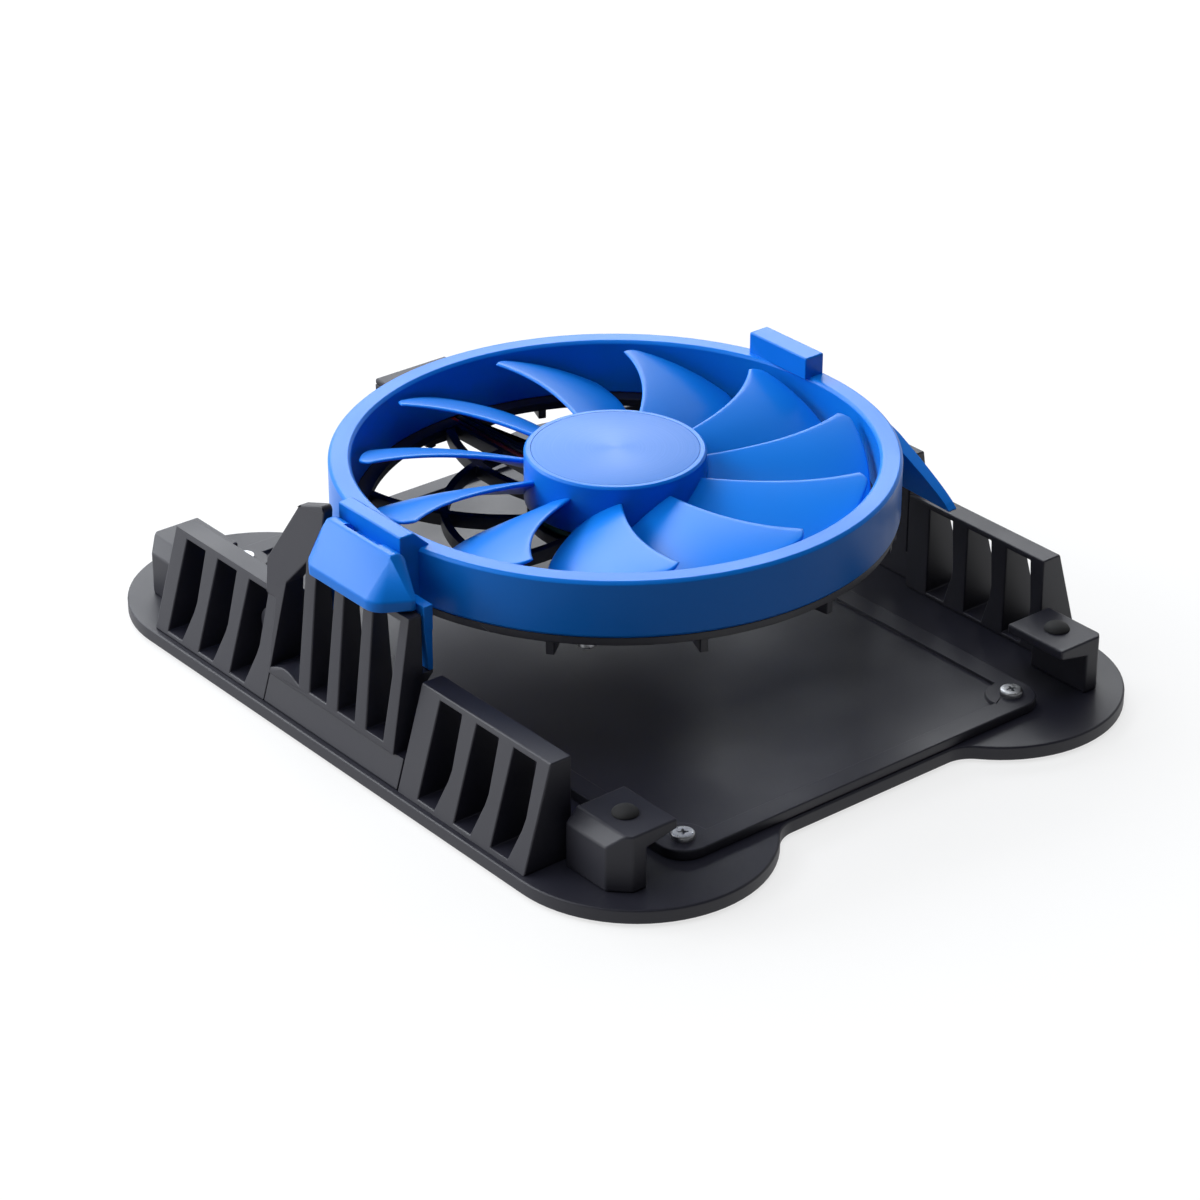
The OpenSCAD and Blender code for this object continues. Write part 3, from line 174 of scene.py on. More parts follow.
finishes = {
    "stand_plastic": finish("standPlastic", "moulded", {
        "Base": (0.011, 0.011, 0.019, 1), "Drift": (0.015, 0.015, 0.024, 1),
        "Grain Scale": 5200.0, "Drift Scale": 60.0, "Rough Low": 0.42, "Rough High": 0.56,
    }, 0.22, 0.00004, {"Specular IOR Level": 0.45}),
    "fan_plastic": finish("fanPlastic", "moulded", {
        "Base": (0.005, 0.205, 0.80, 1), "Drift": (0.004, 0.188, 0.74, 1),
        "Grain Scale": 5600.0, "Drift Scale": 50.0, "Rough Low": 0.27, "Rough High": 0.36,
    }, 0.10, 0.00003, {"Specular IOR Level": 0.18}),
    "hub_disc": finish("spunDisc", "spun", {
        "Base": (0.025, 0.20, 0.70, 1), "Mark": (0.020, 0.185, 0.66, 1),
        "Pitch Scale": 3800.0, "Rough Low": 0.36, "Rough High": 0.42,
    }, 0.03, 0.00002, {"Anisotropic": 0.5, "Specular IOR Level": 0.30}),
    "soft_rubber": finish("softRubber", "moulded", {
        "Base": (0.018, 0.018, 0.019, 1), "Drift": (0.024, 0.024, 0.025, 1),
        "Grain Scale": 3800.0, "Drift Scale": 90.0, "Rough Low": 0.70, "Rough High": 0.85,
    }, 0.35, 0.00006),
    "screw_steel": finish("screwSteel", "metal", {
        "Base": (0.46, 0.47, 0.49, 1), "Streak": (0.38, 0.39, 0.41, 1),
        "Stretch": (2600.0, 2600.0, 600.0), "Rough Low": 0.26, "Rough High": 0.40,
    }, 0.08, 0.00002, {"Metallic": 1.0}),
    "pin_steel": finish("pinSteel", "metal", {
        "Base": (0.58, 0.59, 0.61, 1), "Streak": (0.48, 0.49, 0.51, 1),
        "Stretch": (2600.0, 300.0, 2600.0), "Rough Low": 0.18, "Rough High": 0.30,
    }, 0.06, 0.00002, {"Metallic": 1.0}),
    "motor_steel": finish("motorSteel", "metal", {
        "Base": (0.36, 0.37, 0.39, 1), "Streak": (0.28, 0.29, 0.31, 1),
        "Stretch": (300.0, 300.0, 5200.0), "Rough Low": 0.34, "Rough High": 0.50,
    }, 0.15, 0.00004, {"Metallic": 1.0}),
    "magnet_ferrite": finish("magnetFerrite", "moulded", {
        "Base": (0.050, 0.049, 0.047, 1), "Drift": (0.040, 0.039, 0.038, 1),
        "Grain Scale": 4200.0, "Drift Scale": 120.0, "Rough Low": 0.60, "Rough High": 0.75,
    }, 0.20, 0.00005),
    "white_plastic": finish("whitePlastic", "moulded", {
        "Base": (0.74, 0.74, 0.69, 1), "Drift": (0.70, 0.70, 0.64, 1),
        "Grain Scale": 5200.0, "Drift Scale": 150.0, "Rough Low": 0.40, "Rough High": 0.55,
    }, 0.08, 0.00003),
    "bearing_bronze": finish("bearingBronze", "metal", {
        "Base": (0.50, 0.33, 0.14, 1), "Streak": (0.42, 0.27, 0.11, 1),
        "Stretch": (4200.0, 4200.0, 4200.0), "Rough Low": 0.40, "Rough High": 0.58,
    }, 0.20, 0.00004, {"Metallic": 1.0}),
    "copper_wire": finish("copperWire", "metal", {
        "Base": (0.56, 0.24, 0.09, 1), "Streak": (0.44, 0.17, 0.06, 1),
        "Stretch": (900.0, 900.0, 7000.0), "Rough Low": 0.22, "Rough High": 0.36,
    }, 0.55, 0.00010, {"Metallic": 1.0}),
    "board_laminate": finish("boardLaminate", "moulded", {
        "Base": (0.022, 0.15, 0.062, 1), "Drift": (0.028, 0.18, 0.075, 1),
        "Grain Scale": 2600.0, "Drift Scale": 300.0, "Rough Low": 0.28, "Rough High": 0.40,
    }, 0.10, 0.00003),
    "inlet_steel": finish("inletSteel", "metal", {
        "Base": (0.62, 0.63, 0.65, 1), "Streak": (0.54, 0.55, 0.57, 1),
        "Stretch": (300.0, 3200.0, 300.0), "Rough Low": 0.22, "Rough High": 0.34,
    }, 0.06, 0.00002, {"Metallic": 1.0}),
    "tongue_plastic": finish("tonguePlastic", "moulded", {
        "Base": (0.020, 0.020, 0.021, 1), "Drift": (0.026, 0.026, 0.027, 1),
        "Grain Scale": 5200.0, "Drift Scale": 200.0, "Rough Low": 0.40, "Rough High": 0.52,
    }, 0.10, 0.00003),
    "lead_sleeve": finish("redSleeve", "moulded", {
        "Base": (0.16, 0.010, 0.010, 1), "Drift": (0.13, 0.008, 0.008, 1),
        "Grain Scale": 3000.0, "Drift Scale": 150.0, "Rough Low": 0.34, "Rough High": 0.46,
    }, 0.10, 0.00003),
}
blackSleeve = finish("blackSleeve", "moulded", {
    "Base": (0.020, 0.020, 0.022, 1), "Drift": (0.028, 0.028, 0.030, 1),
    "Grain Scale": 3000.0, "Drift Scale": 150.0, "Rough Low": 0.34, "Rough High": 0.46,
}, 0.10, 0.00003)
contactGold = finish("contactGold", "metal", {
    "Base": (0.83, 0.62, 0.27, 1), "Streak": (0.74, 0.54, 0.22, 1),
    "Stretch": (900.0, 3200.0, 900.0), "Rough Low": 0.20, "Rough High": 0.30,
}, 0.05, 0.00002, {"Metallic": 1.0})
print("finishes made:", len(finishes) + 2)


# softened copies of CAD nodes

def linkPiece(name, mesh):
    obj = bpy.data.objects.new(name, mesh)
    scene.collection.objects.link(obj)
    return obj


def shellMesh(name, shell, sharp=None, smooth=True):
    # a mesh from a shell, smooth but for edges sharper than the angle, if one is given
    mesh = bpy.data.meshes.new(name)
    shell.to_mesh(mesh)
    shell.free()
    if smooth:
        mesh.shade_smooth()
    if sharp:
        mesh.set_sharp_from_angle(angle=math.radians(sharp))
    return mesh


def frozen(obj):
    # the evaluated result as a plain mesh, with the modifiers removed
    graph = bpy.context.evaluated_depsgraph_get()
    mesh = bpy.data.meshes.new_from_object(obj.evaluated_get(graph), depsgraph=graph)
    obj.modifiers.clear()
    old = obj.data
    obj.data = mesh
    bpy.data.meshes.remove(old)
    mesh.name = obj.name
    return obj


mergeGap = 0.002 * mm


def mergedShell(node, look=None):
    # a CAD node's loose triangles, merged and with flat areas joined into single faces; round
    # faces about the fan's axis are then cut into sectors, and slotted faces into convex ones
    look = look or {}
    source = cadNodes[node].data
    shell = bmesh.new()
    points = [shell.verts.new(v.co) for v in source.vertices]
    for face in source.polygons:
        corners = [points[i] for i in face.vertices]
        if len(set(corners)) == len(corners):
            shell.faces.new(corners)
    bmesh.ops.remove_doubles(shell, verts=shell.verts, dist=mergeGap)
    bmesh.ops.dissolve_degenerate(shell, edges=shell.edges, dist=0.001 * mm)
    bmesh.ops.dissolve_limit(shell, angle_limit=math.radians(0.5), verts=shell.verts, edges=shell.edges)
    for k in range(look.get("sectors", 0)):
        a = math.pi * (k + 0.37) / look["sectors"]
        everything = shell.verts[:] + shell.edges[:] + shell.faces[:]
        bmesh.ops.bisect_plane(shell, geom=everything, dist=mergeGap, plane_co=(0, 0, 0),
                               plane_no=(math.cos(a), math.sin(a), 0))
    if look.get("slotted"):
        bmesh.ops.connect_verts_concave(shell, faces=shell.faces[:])
    return shell


def chainNear(e, sharp, reach):
    # sharp edges that carry on from e in a smooth line, within reach of it
    near = {o for v in e.verts for o in v.link_edges}
    for v in e.verts:
        here, at, gone = e, v, 0.0
        while gone < reach:
            onward = [o for o in at.link_edges if o in sharp and o is not here]
            if len(onward) != 1:
                break
            here, at = onward[0], onward[0].other_vert(at)
            gone += here.calc_length()
            near.add(here)
    return near


weighLook = {"sharp": 28, "share": 0.38, "step": 0.35 * mm, "least": 0.08}


def weighEdges(shell, width, look):
    # a full bevel where there is room, a smaller one where sharp edges run close together
    layer = shell.edges.layers.float.new("bevel_weight_edge")
    sharpAngle, share = math.radians(look["sharp"]), look["share"]
    sharp = [e for e in shell.edges if len(e.link_faces) == 2 and e.calc_face_angle() > sharpAngle]
    samples = []
    for e in sharp:
        a, b = e.verts[0].co, e.verts[1].co
        count = max(1, math.ceil((b - a).length / look["step"]))
        samples += [(a.lerp(b, (k + 0.5) / count), e) for k in range(count)]
    tree = kdtree.KDTree(len(samples))
    for i, (point, e) in enumerate(samples):
        tree.insert(point, i)
    tree.balance()
    room = {e: 1.0 for e in sharp}
    sharpSet = set(sharp)
    near = {e: chainNear(e, sharpSet, 2 * width / share) for e in sharp}
    for point, e in samples:
        for _, i, gap in tree.find_range(point, width / share):
            other = samples[i][1]
            if other is not e and other not in near[e]:
                room[e] = min(room[e], gap)
    for e in sharp:
        e[layer] = min(1.0, max(look["least"], room[e] * share / width))


def addBevel(obj, width, segments):
    bevel = obj.modifiers.new("softEdge", "BEVEL")
    bevel.width, bevel.segments = width, segments
    bevel.limit_method, bevel.use_clamp_overlap = "WEIGHT", False


def addEvenNormals(obj):
    even = obj.modifiers.new("evenNormals", "WEIGHTED_NORMAL")
    even.mode, even.keep_sharp = "FACE_AREA", True


def seat(obj, body, nodes):
    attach(obj, body)
    if nodes:
        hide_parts(*nodes)
    return obj


def softPiece(node, look):
    # stands in for a CAD node: the same shape with its edges rounded
    shell = mergedShell(node, look)
    weighEdges(shell, look["edge"], weighLook)
    mesh = shellMesh(look["name"], shell)
    mesh.materials.append(finishes[slotOf[node]])
    obj = linkPiece(look["name"], mesh)
    addBevel(obj, look["edge"], look["segments"])
    addEvenNormals(obj)
    frozen(obj)
    return seat(obj, bodyOf[node], [node])


basePlateLook = {"name": "basePlate", "edge": 0.3 * mm, "segments": 3}
trayLook = {"name": "supportTray", "edge": 0.2 * mm, "segments": 2}
louvreLook = {"edge": 0.22 * mm, "segments": 2}
uprightLook = {"edge": 0.24 * mm, "segments": 2, "slotted": True}
postLook = {"edge": 0.3 * mm, "segments": 3}
pinLook = {"name": "leftHingePin", "edge": 0.12 * mm, "segments": 2}
grilleLook = {"name": "lowerGrille", "edge": 0.16 * mm, "segments": 2, "sectors": 13}
lidLook = {"name": "inletLid", "edge": 0.3 * mm, "segments": 3}
inletLook = {"name": "powerInlet", "edge": 0.07 * mm, "segments": 2}

softPiece("base_plate", basePlateLook)
softPiece("support_tray", trayLook)
for sideName in ("left", "right"):
    for endName in ("front", "rear"):
        label = sideName + endName.capitalize()
        softPiece(f"{sideName}_{endName}_louvre", dict(louvreLook, name=label + "Louvre"))
        softPiece(f"{sideName}_{endName}_post", dict(postLook, name=label + "Post"))
    softPiece(f"{sideName}_upright", dict(uprightLook, name=sideName + "Upright"))
softPiece("left_hinge_pin", pinLook)
softPiece("lower_grille", grilleLook)
softPiece("inlet_lid", lidLook)
softPiece("power_inlet", inletLook)
print("softened copies made")


# the hinged clip: a hipped hood with a hollow under it, a knuckle along its ridge and a bead

clipLook = {
    "name": "leftClip", "inX": 44.2, "outX": 49.4, "near": -12.9, "far": 6.3, "slant": 2.7, "footRun": 0.6,
    "cornerR": 3.0, "cornerSteps": 14, "farCut": 1.0, "skirtZ": 26.4, "skirtH": 1.5, "wall": 1.1,
    "pinX": 44.2, "pinZ": 31.1, "boreR": 0.65, "knuckleR": 1.7, "ridgeNear": -8.4, "ridgeFar": 5.9,
    "ridgeX": 44.95, "rodSteps": 56, "gapNear": -4.9, "gapFar": 2.9, "gapR": 1.25,
    "sweepR": 4.0, "sweepFrom": 85.0, "sweepTo": 285.0, "sweepSteps": 8,
    "beadNear": -8.8, "beadFar": 3.4, "beadReach": 0.55, "beadH": 0.15, "edge": 0.24, "segments": 3,
}


def hullShell(points):
    # the closed shape that wraps points given in millimetres, with x measured outwards to the left
    shell = bmesh.new()
    for x, y, z in points:
        shell.verts.new((-x * mm, y * mm, z * mm))
    made = bmesh.ops.convex_hull(shell, input=shell.verts)
    inside = {v for v in made["geom_interior"] + made["geom_unused"] if isinstance(v, bmesh.types.BMVert)}
    bmesh.ops.delete(shell, geom=list(inside), context="VERTS")
    bmesh.ops.dissolve_limit(shell, angle_limit=math.radians(0.4), verts=shell.verts, edges=shell.edges)
    bmesh.ops.recalc_face_normals(shell, faces=shell.faces)
    return shell


def rodPoints(look, r, near, far):
    turns = [2 * math.pi * k / look["rodSteps"] for k in range(look["rodSteps"])]
    circle = [(look["pinX"] + r * math.cos(a), look["pinZ"] + r * math.sin(a)) for a in turns]
    return alongY(circle, near, far)


def alongY(section, near, far):
    return [(x, y, z) for x, z in section for y in (near, far)]


def clipOutline(look, t):
    # outline of the skirt seen from above, set in by t; the hollow runs on towards the ring
    openX = look["inX"] if t == 0 else look["pinX"] - 4
    turn = math.pi / 2 - math.atan2(look["slant"], look["outX"] - look["inX"] - look["footRun"])
    r = look["cornerR"] - t
    cx = look["outX"] - look["cornerR"]
    cy = look["near"] + look["slant"] + 0.5 * t + r * math.tan(turn / 2)
    sweep = [-turn * k / look["cornerSteps"] for k in range(look["cornerSteps"] + 1)]
    near = look["near"] + 1.15 * t
    return [(openX, look["far"] - t), (look["outX"] - look["farCut"] - 0.6 * t, 0.89 * look["far"] - t),
            (look["outX"] - t, 0.635 * look["far"] - 0.5 * t)] + [
            (cx + r * math.cos(a), cy + r * math.sin(a)) for a in sweep] + [
            (look["inX"] + look["footRun"], near), (openX, near)]


def shellObject(name, shell):
    return linkPiece(name, shellMesh(name, shell, smooth=False))


def softened(obj, edge, segments):
    # rounds the edges of a plain shape; the bevel fades out where an edge runs into a rounded face
    shell = bmesh.new()
    shell.from_mesh(obj.data)
    layer = shell.edges.layers.float.new("bevel_weight_edge")
    for e in shell.edges:
        e[layer] = min(1.0, max(0.0, (math.degrees(e.calc_face_angle()) - 6) / 24))
    shell.to_mesh(obj.data)
    shell.free()
    addBevel(obj, edge * mm, segments)
    return frozen(obj)


def combined(obj, kind, tool):
    # joins a helper shape to a piece, or cuts it away, and removes the helper
    step = obj.modifiers.new("shapeStep", "BOOLEAN")
    step.operation, step.solver, step.object = kind, "EXACT", tool
    frozen(obj)
    bpy.data.objects.remove(tool)
    return obj


def evenShading(obj, material):
    obj.data.shade_smooth()
    obj.data.set_sharp_from_angle(angle=math.radians(32))
    obj.data.materials.clear()
    obj.data.materials.append(material)
    addEvenNormals(obj)
    return frozen(obj)


def clipPiece(look):
    low, top = look["skirtZ"], look["skirtZ"] + look["skirtH"]
    hood = hullShell([(x, y, z) for x, y in clipOutline(look, 0) for z in (low, top)]
                     + rodPoints(look, look["knuckleR"], look["ridgeNear"], look["ridgeFar"])
                     + [(look["ridgeX"], y, look["pinZ"] + look["knuckleR"])
                        for y in (look["ridgeNear"], look["ridgeFar"])])
    obj = softened(shellObject(look["name"], hood), look["edge"], look["segments"])
    t, y0, y1 = look["wall"], look["ridgeNear"], look["ridgeFar"]
    roof = look["pinZ"] + look["knuckleR"] - 1.45 * t
    hollow = [(x, y, z) for x, y in clipOutline(look, t) for z in (low - 1, top - 0.35 * t)]
    hollow += [(x, y, z) for x in (look["pinX"] - 4, look["pinX"] + 0.2) for y in (y0 + t, y1 - t)
               for z in (roof - 0.2, roof)]
    root, tip = look["outX"] - t + 0.05, look["outX"] - t - look["beadReach"]
    rise = low + look["beadH"]
    bead = [(root, low), (tip, low), (tip, rise), (root, rise + look["beadReach"])]
    count = look["sweepSteps"]
    turns = [look["sweepFrom"] + (look["sweepTo"] - look["sweepFrom"]) * k / count for k in range(count + 1)]
    fan = [(look["pinX"] + look["sweepR"] * math.cos(math.radians(a)),
            look["pinZ"] + look["sweepR"] * math.sin(math.radians(a))) for a in turns]
    hub = (look["pinX"], look["pinZ"])
    gap = (look["gapNear"], look["gapFar"])
    steps = [
        ("DIFFERENCE", hollow),
        ("UNION", rodPoints(look, look["knuckleR"] - 0.1, y0 + 0.05, y1 - 0.05)),
        ("UNION", alongY(bead, look["beadNear"], look["beadFar"])),
        ("DIFFERENCE", rodPoints(look, look["boreR"], y0 - 0.1, y1 + 1)),
        ("DIFFERENCE", rodPoints(look, look["gapR"], *gap)),
        ("DIFFERENCE", alongY([hub] + fan[:count // 2 + 1], *gap)),
        ("DIFFERENCE", alongY([hub] + fan[count // 2:], *gap)),
    ]
    for k, (kind, points) in enumerate(steps):
        combined(obj, kind, shellObject(f"clipTool{k}", hullShell(points)))
    evenShading(obj, finishes["fan_plastic"])
    return seat(obj, "left_latch", ["left_clip"])


leftClip = clipPiece(clipLook)
print("clip made:", len(leftClip.data.polygons), "faces")


# profiles turned about the fan's axis

def turned(profile, steps):
    # rings of faces from a profile of radius and height in millimetres
    shell = bmesh.new()
    rings = []
    for r, z in [(r * mm, z * mm) for r, z in profile]:
        if r < 1e-9:
            rings.append([shell.verts.new((0, 0, z))])
            continue
        turn = [2 * math.pi * k / steps for k in range(steps)]
        rings.append([shell.verts.new((r * math.cos(a), r * math.sin(a), z)) for a in turn])
    for low, high in zip(rings, rings[1:]):
        for k in range(steps):
            n = (k + 1) % steps
            corners = [low[k % len(low)], low[n % len(low)], high[n % len(high)], high[k % len(high)]]
            corners = list(dict.fromkeys(corners))
            if len(corners) > 2:
                shell.faces.new(corners)
    bmesh.ops.remove_doubles(shell, verts=shell.verts, dist=0.0005 * mm)
    bmesh.ops.recalc_face_normals(shell, faces=shell.faces)
    return shell


def roundCorner(before, corner, after, radius, steps=5):
    # points of a rounded corner of a profile
    a, b = (Vector(before) - Vector(corner)).normalized(), (Vector(after) - Vector(corner)).normalized()
    half = math.acos(max(-1, min(1, a.dot(b)))) / 2
    reach = radius / math.tan(half)
    centre = Vector(corner) + (a + b).normalized() * radius / math.sin(half)
    first, last = Vector(corner) + a * reach - centre, Vector(corner) + b * reach - centre
    start = math.atan2(first.y, first.x)
    sweep = (math.atan2(last.y, last.x) - start + math.pi) % (2 * math.pi) - math.pi
    turns = [start + sweep * k / steps for k in range(steps + 1)]
    return [(centre.x + radius * math.cos(t), centre.y + radius * math.sin(t)) for t in turns]


# the fan ring: a turned ring with a block, a rail, an apron and legs on each side, and a swept fin

ringLook = {
    "inR": 36.8, "outR": 40.0, "low": 23.2, "top": 31.6, "bevel": 0.4, "edgeR": 0.3, "steps": 288,
    "bayX": 42.3, "rootX": 38.2, "blockHalf": 7.0, "railTop": 34.0, "slopeFootX": 37.19, "rightBlockTop": 28.0,
    "rightRail": {"near": 0.6, "far": 13.0, "in": 36.14, "stem": 38.0, "out": 39.6, "top": 34.8,
                  "under": 31.36, "foot": 24.2},
    "lug": {"r": 1.1, "near": -4.603, "far": 2.597, "bore": 0.62,
            "armLow": 29.4, "armTip": 30.0, "armTop": 31.3},
    "legT": 1.4, "legW": 2.2, "legFar": 9.65, "legZ": 17.3, "hookZ": 19.5, "hookOut": 44.5,
    "left": {"near": -13.8, "apronTop": 27.0}, "right": {"near": -6.5, "apronTop": 25.4},
    "fin": {"tipY": -27.3, "rootY": -6.0, "low": 20.1, "tipH": 0.2, "rise": 9.1, "bend": 0.8, "steps": 24,
            "rootUnder": 3.1, "rootRun": 3.0, "in": 38.7, "t": 1.5, "outX": 41.6, "rootIn": 39.6, "midIn": 39.4,
            "spanX": (36.8, 42.3), "top": 31.6},
    "edge": 0.24, "smallEdge": 0.14, "finEdge": 0.07, "segments": 3,
    "lap": 0.1, "lift": 0.05, "legIn": 0.03, "hookIn": 0.07, "armIn": 0.01,  # small overlaps and set-backs
}


def prismObject(name, section, axis, near, far, side=1):
    # a closed bar with a section of two coordinates, drawn along X, Y or Z from near to far;
    # side -1 mirrors it to the left
    shell = bmesh.new()
    ends = []
    for at in (near, far):
        spots = {"X": [(at, a, b) for a, b in section], "Y": [(a, at, b) for a, b in section],
                 "Z": [(a, b, at) for a, b in section]}[axis]
        ends.append([shell.verts.new((side * x * mm, y * mm, z * mm)) for x, y, z in spots])
    count = len(section)
    for k in range(count):
        n = (k + 1) % count
        shell.faces.new((ends[0][k], ends[0][n], ends[1][n], ends[1][k]))
    shell.faces.new(ends[0][::-1])
    shell.faces.new(ends[1])
    bmesh.ops.recalc_face_normals(shell, faces=shell.faces)
    return shellObject(name, shell)


def ringBody(look):
    r0, r1, z0, z1, b = look["inR"], look["outR"], look["low"], look["top"], look["bevel"]
    corners = [(r0, z0), (r1 - b, z0), (r1, z0 + b), (r1, z1 - b), (r1 - b, z1), (r0 + b, z1), (r0, z1 - b)]
    loop = []
    for k, corner in enumerate(corners):
        loop += roundCorner(corners[k - 1], corner, corners[(k + 1) % len(corners)], look["edgeR"], 3)
    shell = turned(loop + loop[:1], look["steps"])
    return shellObject("fanRing", shell)


def finObject(look):
    # a blade-like fin: its side view and its plan, crossed
    tip, root, low, inX, count = look["tipY"], look["rootY"], look["low"], look["in"], look["steps"]
    crest = [(tip + (root - tip) * k / count, low + look["tipH"] + look["rise"] * (k / count) ** look["bend"])
             for k in range(count + 1)]
    under = low + look["rootUnder"]
    sideView = crest + [(root, under), (root - look["rootRun"], under), (tip / 2, low), (tip, low)]
    plan = [(inX, tip), (inX + look["t"], tip), (look["outX"], tip / 2), (look["outX"], root),
            (look["rootIn"], root), (look["midIn"], tip / 2)]
    fin = prismObject("finSide", sideView, "X", *look["spanX"])
    return combined(fin, "INTERSECT", prismObject("finPlan", plan, "Z", low - 1, look["top"]))


def sideBlocks(look):
    # the blocks that join the ring to its two sides, and the right rail
    bay, root, z0, z1 = look["bayX"], look["rootX"], look["low"] + look["lift"], look["top"]
    half, rail, blockTop = look["blockHalf"], look["rightRail"], look["rightBlockTop"]
    leftBlock = [(root, z0), (bay, z0), (bay, look["railTop"]), (look["outR"], look["railTop"]),
                 (look["slopeFootX"], z1 - 0.3), (root, z1 - 1)]
    rightBlock = [(root, z0), (bay, z0), (bay, blockTop), (root, blockTop)]
    rightRail = [(rail["in"], rail["under"]), (rail["stem"], rail["under"]), (rail["stem"], rail["foot"]),
                 (rail["out"], rail["foot"]), (rail["out"], rail["top"]), (rail["in"], rail["top"])]
    return [prismObject("leftBlock", leftBlock, "Y", -half, half, -1),
            prismObject("rightBlock", rightBlock, "Y", -half, half),
            prismObject("rightRail", rightRail, "Y", rail["near"], rail["far"])]


def apronShapes(look):
    # an apron with two legs on each side; the right legs have hooks
    shapes = []
    bay, low, hookZ, hookOut = look["bayX"], look["low"], look["hookZ"], look["hookOut"]
    legTop, outX, inX = low + 1, bay + look["legT"], bay - look["lap"]
    leg = [(bay, legTop), (outX, legTop), (bay + look["legT"] / 2, look["legZ"]), (bay, look["legZ"])]
    hook = [(bay + 0.4, hookZ), (hookOut, hookZ + 0.4), (hookOut, hookZ + 0.8), (bay + 0.4, hookZ + 1.2)]
    for side, name in ((-1, "left"), (1, "right")):
        near, far, top = look[name]["near"], look["legFar"], look[name]["apronTop"]
        apron = [(inX, low), (outX, low), (outX, top), (inX, top)]
        shapes.append(prismObject("apron", apron, "Y", near, far, side))
        for y in (near, far - look["legW"]):
            end = y + look["legW"]
            shapes.append(prismObject("leg", leg, "Y", y + look["legIn"], end - look["legIn"], side))
            if side > 0:
                shapes.append(prismObject("hook", hook, "Y", y + look["hookIn"], end - look["hookIn"], side))
    return shapes


def ringPiece(look):
    ring = ringBody(look)
    groups = ((sideBlocks(look), look["edge"]), (apronShapes(look), look["smallEdge"]),
              ([finObject(look["fin"])], look["finEdge"]))
    for shapes, edge in groups:
        for shape in shapes:
            combined(ring, "UNION", softened(shape, edge, look["segments"]))
    lug, inX, pinX = look["lug"], look["bayX"] - look["lap"], clipLook["pinX"]
    near, far = lug["near"], lug["far"]
    arm = [(inX, lug["armLow"]), (pinX, lug["armTip"]), (pinX, clipLook["pinZ"]), (inX, lug["armTop"])]
    combined(ring, "UNION", prismObject("arm", arm, "Y", near + look["armIn"], far - look["armIn"], -1))
    combined(ring, "UNION", shellObject("lug", hullShell(rodPoints(clipLook, lug["r"], near, far))))
    bore = rodPoints(clipLook, lug["bore"], near - 1, far + 1)
    combined(ring, "DIFFERENCE", shellObject("bore", hullShell(bore)))
    evenShading(ring, finishes["fan_plastic"])
    return seat(ring, "stand", ["fan_ring"])


fanRing = ringPiece(ringLook)
print("fan ring made:", len(fanRing.data.polygons), "faces")


# the impeller: hub turned about the axis, blades repeated by Geometry Nodes

impellerLook = {
    "blades": 11, "firstTip": 179.5, "sweep": 10.2, "rootChord": 30.0, "tipChord": 28.0,
    "rootT": 1.3, "tipT": 0.95, "rootR": 12.15, "tipR": 35.7,
    "leadRootZ": 29.2, "leadTipZ": 31.0, "lowZ": 24.6, "leadCorner": 1.5, "trailCorner": 1.0,
    "chordSteps": 22, "spanSteps": 26, "turnSteps": 160,
    "hubR": 12.8, "hubLow": 24.2, "hubTop": 31.8, "hubBevel": 0.3, "hubWall": 1.3, "hubRoof": 1.6,
    "bossR": 2.5, "bossH": 1.3, "boreR": 1.03, "boreTop": 0.4, "capR": 11.8, "capT": 0.5,
}


def bladeMesh(look):
    # one swept and twisted blade with rounded leading, trailing and tip edges
    def eased(k, n):
        return 0.5 - 0.5 * math.cos(math.pi * k / n)

    def surface(u, v, s, thin):
        lead = max(0.0, 1 - v / 0.12) ** 2 * look["leadCorner"]
        trail = max(0.0, 1 - (1 - v) / 0.10) ** 2 * look["trailCorner"]
        reach = look["tipR"] - lead - trail
        r = look["rootR"] + (reach - look["rootR"]) * u
        chord = look["rootChord"] + (look["tipChord"] - look["rootChord"]) * u
        angle = math.radians(-look["sweep"] * (1 - u * u) - chord * v)
        leadZ = look["leadRootZ"] + (look["leadTipZ"] - look["leadRootZ"]) * u
        fall = (leadZ - look["lowZ"]) * (0.72 * v + 0.28 * v * v)
        full = (look["rootT"] + (look["tipT"] - look["rootT"]) * u) * (0.5 + 0.5 * math.sin(math.pi * v))
        arc = r * math.radians(chord)
        edge = min(v, 1 - v) * arc / 0.45
        rounding = math.sqrt(max(0.0, 1 - (1 - min(1.0, edge)) ** 2))
        t = full * rounding * thin
        return Vector((r * math.cos(angle), r * math.sin(angle), leadZ - fall + s * t / 2)) * mm

    nu, nv = look["spanSteps"], look["chordSteps"]
    spans = [k / nu * 0.985 for k in range(nu + 1)] + [0.990, 0.994, 0.9975, 1.0]
    thins = [1.0] * (nu + 1) + [0.94, 0.80, 0.55, 0.0]
    shell = bmesh.new()
    grid = {}
    for i, (u, thin) in enumerate(zip(spans, thins)):
        for j in range(nv + 1):
            v = eased(j, nv)
            for s in (1, -1):
                shared = s < 0 and (j in (0, nv) or thin == 0)
                grid[i, j, s] = grid[i, j, 1] if shared else shell.verts.new(surface(u, v, s, thin))
    last = len(spans) - 1
    for i in range(last):
        for j in range(nv):
            for s in (1, -1):
                quad = [grid[i, j, s], grid[i + 1, j, s], grid[i + 1, j + 1, s], grid[i, j + 1, s]]
                quad = list(dict.fromkeys(quad))
                if len(quad) > 2 and not shell.faces.get(quad):
                    shell.faces.new(quad if s > 0 else quad[::-1])
    rootLoop = [grid[0, j, 1] for j in range(nv + 1)] + [grid[0, j, -1] for j in range(nv - 1, 0, -1)]
    shell.faces.new(rootLoop)
    bmesh.ops.recalc_face_normals(shell, faces=shell.faces)
    return shellMesh("oneBlade", shell)


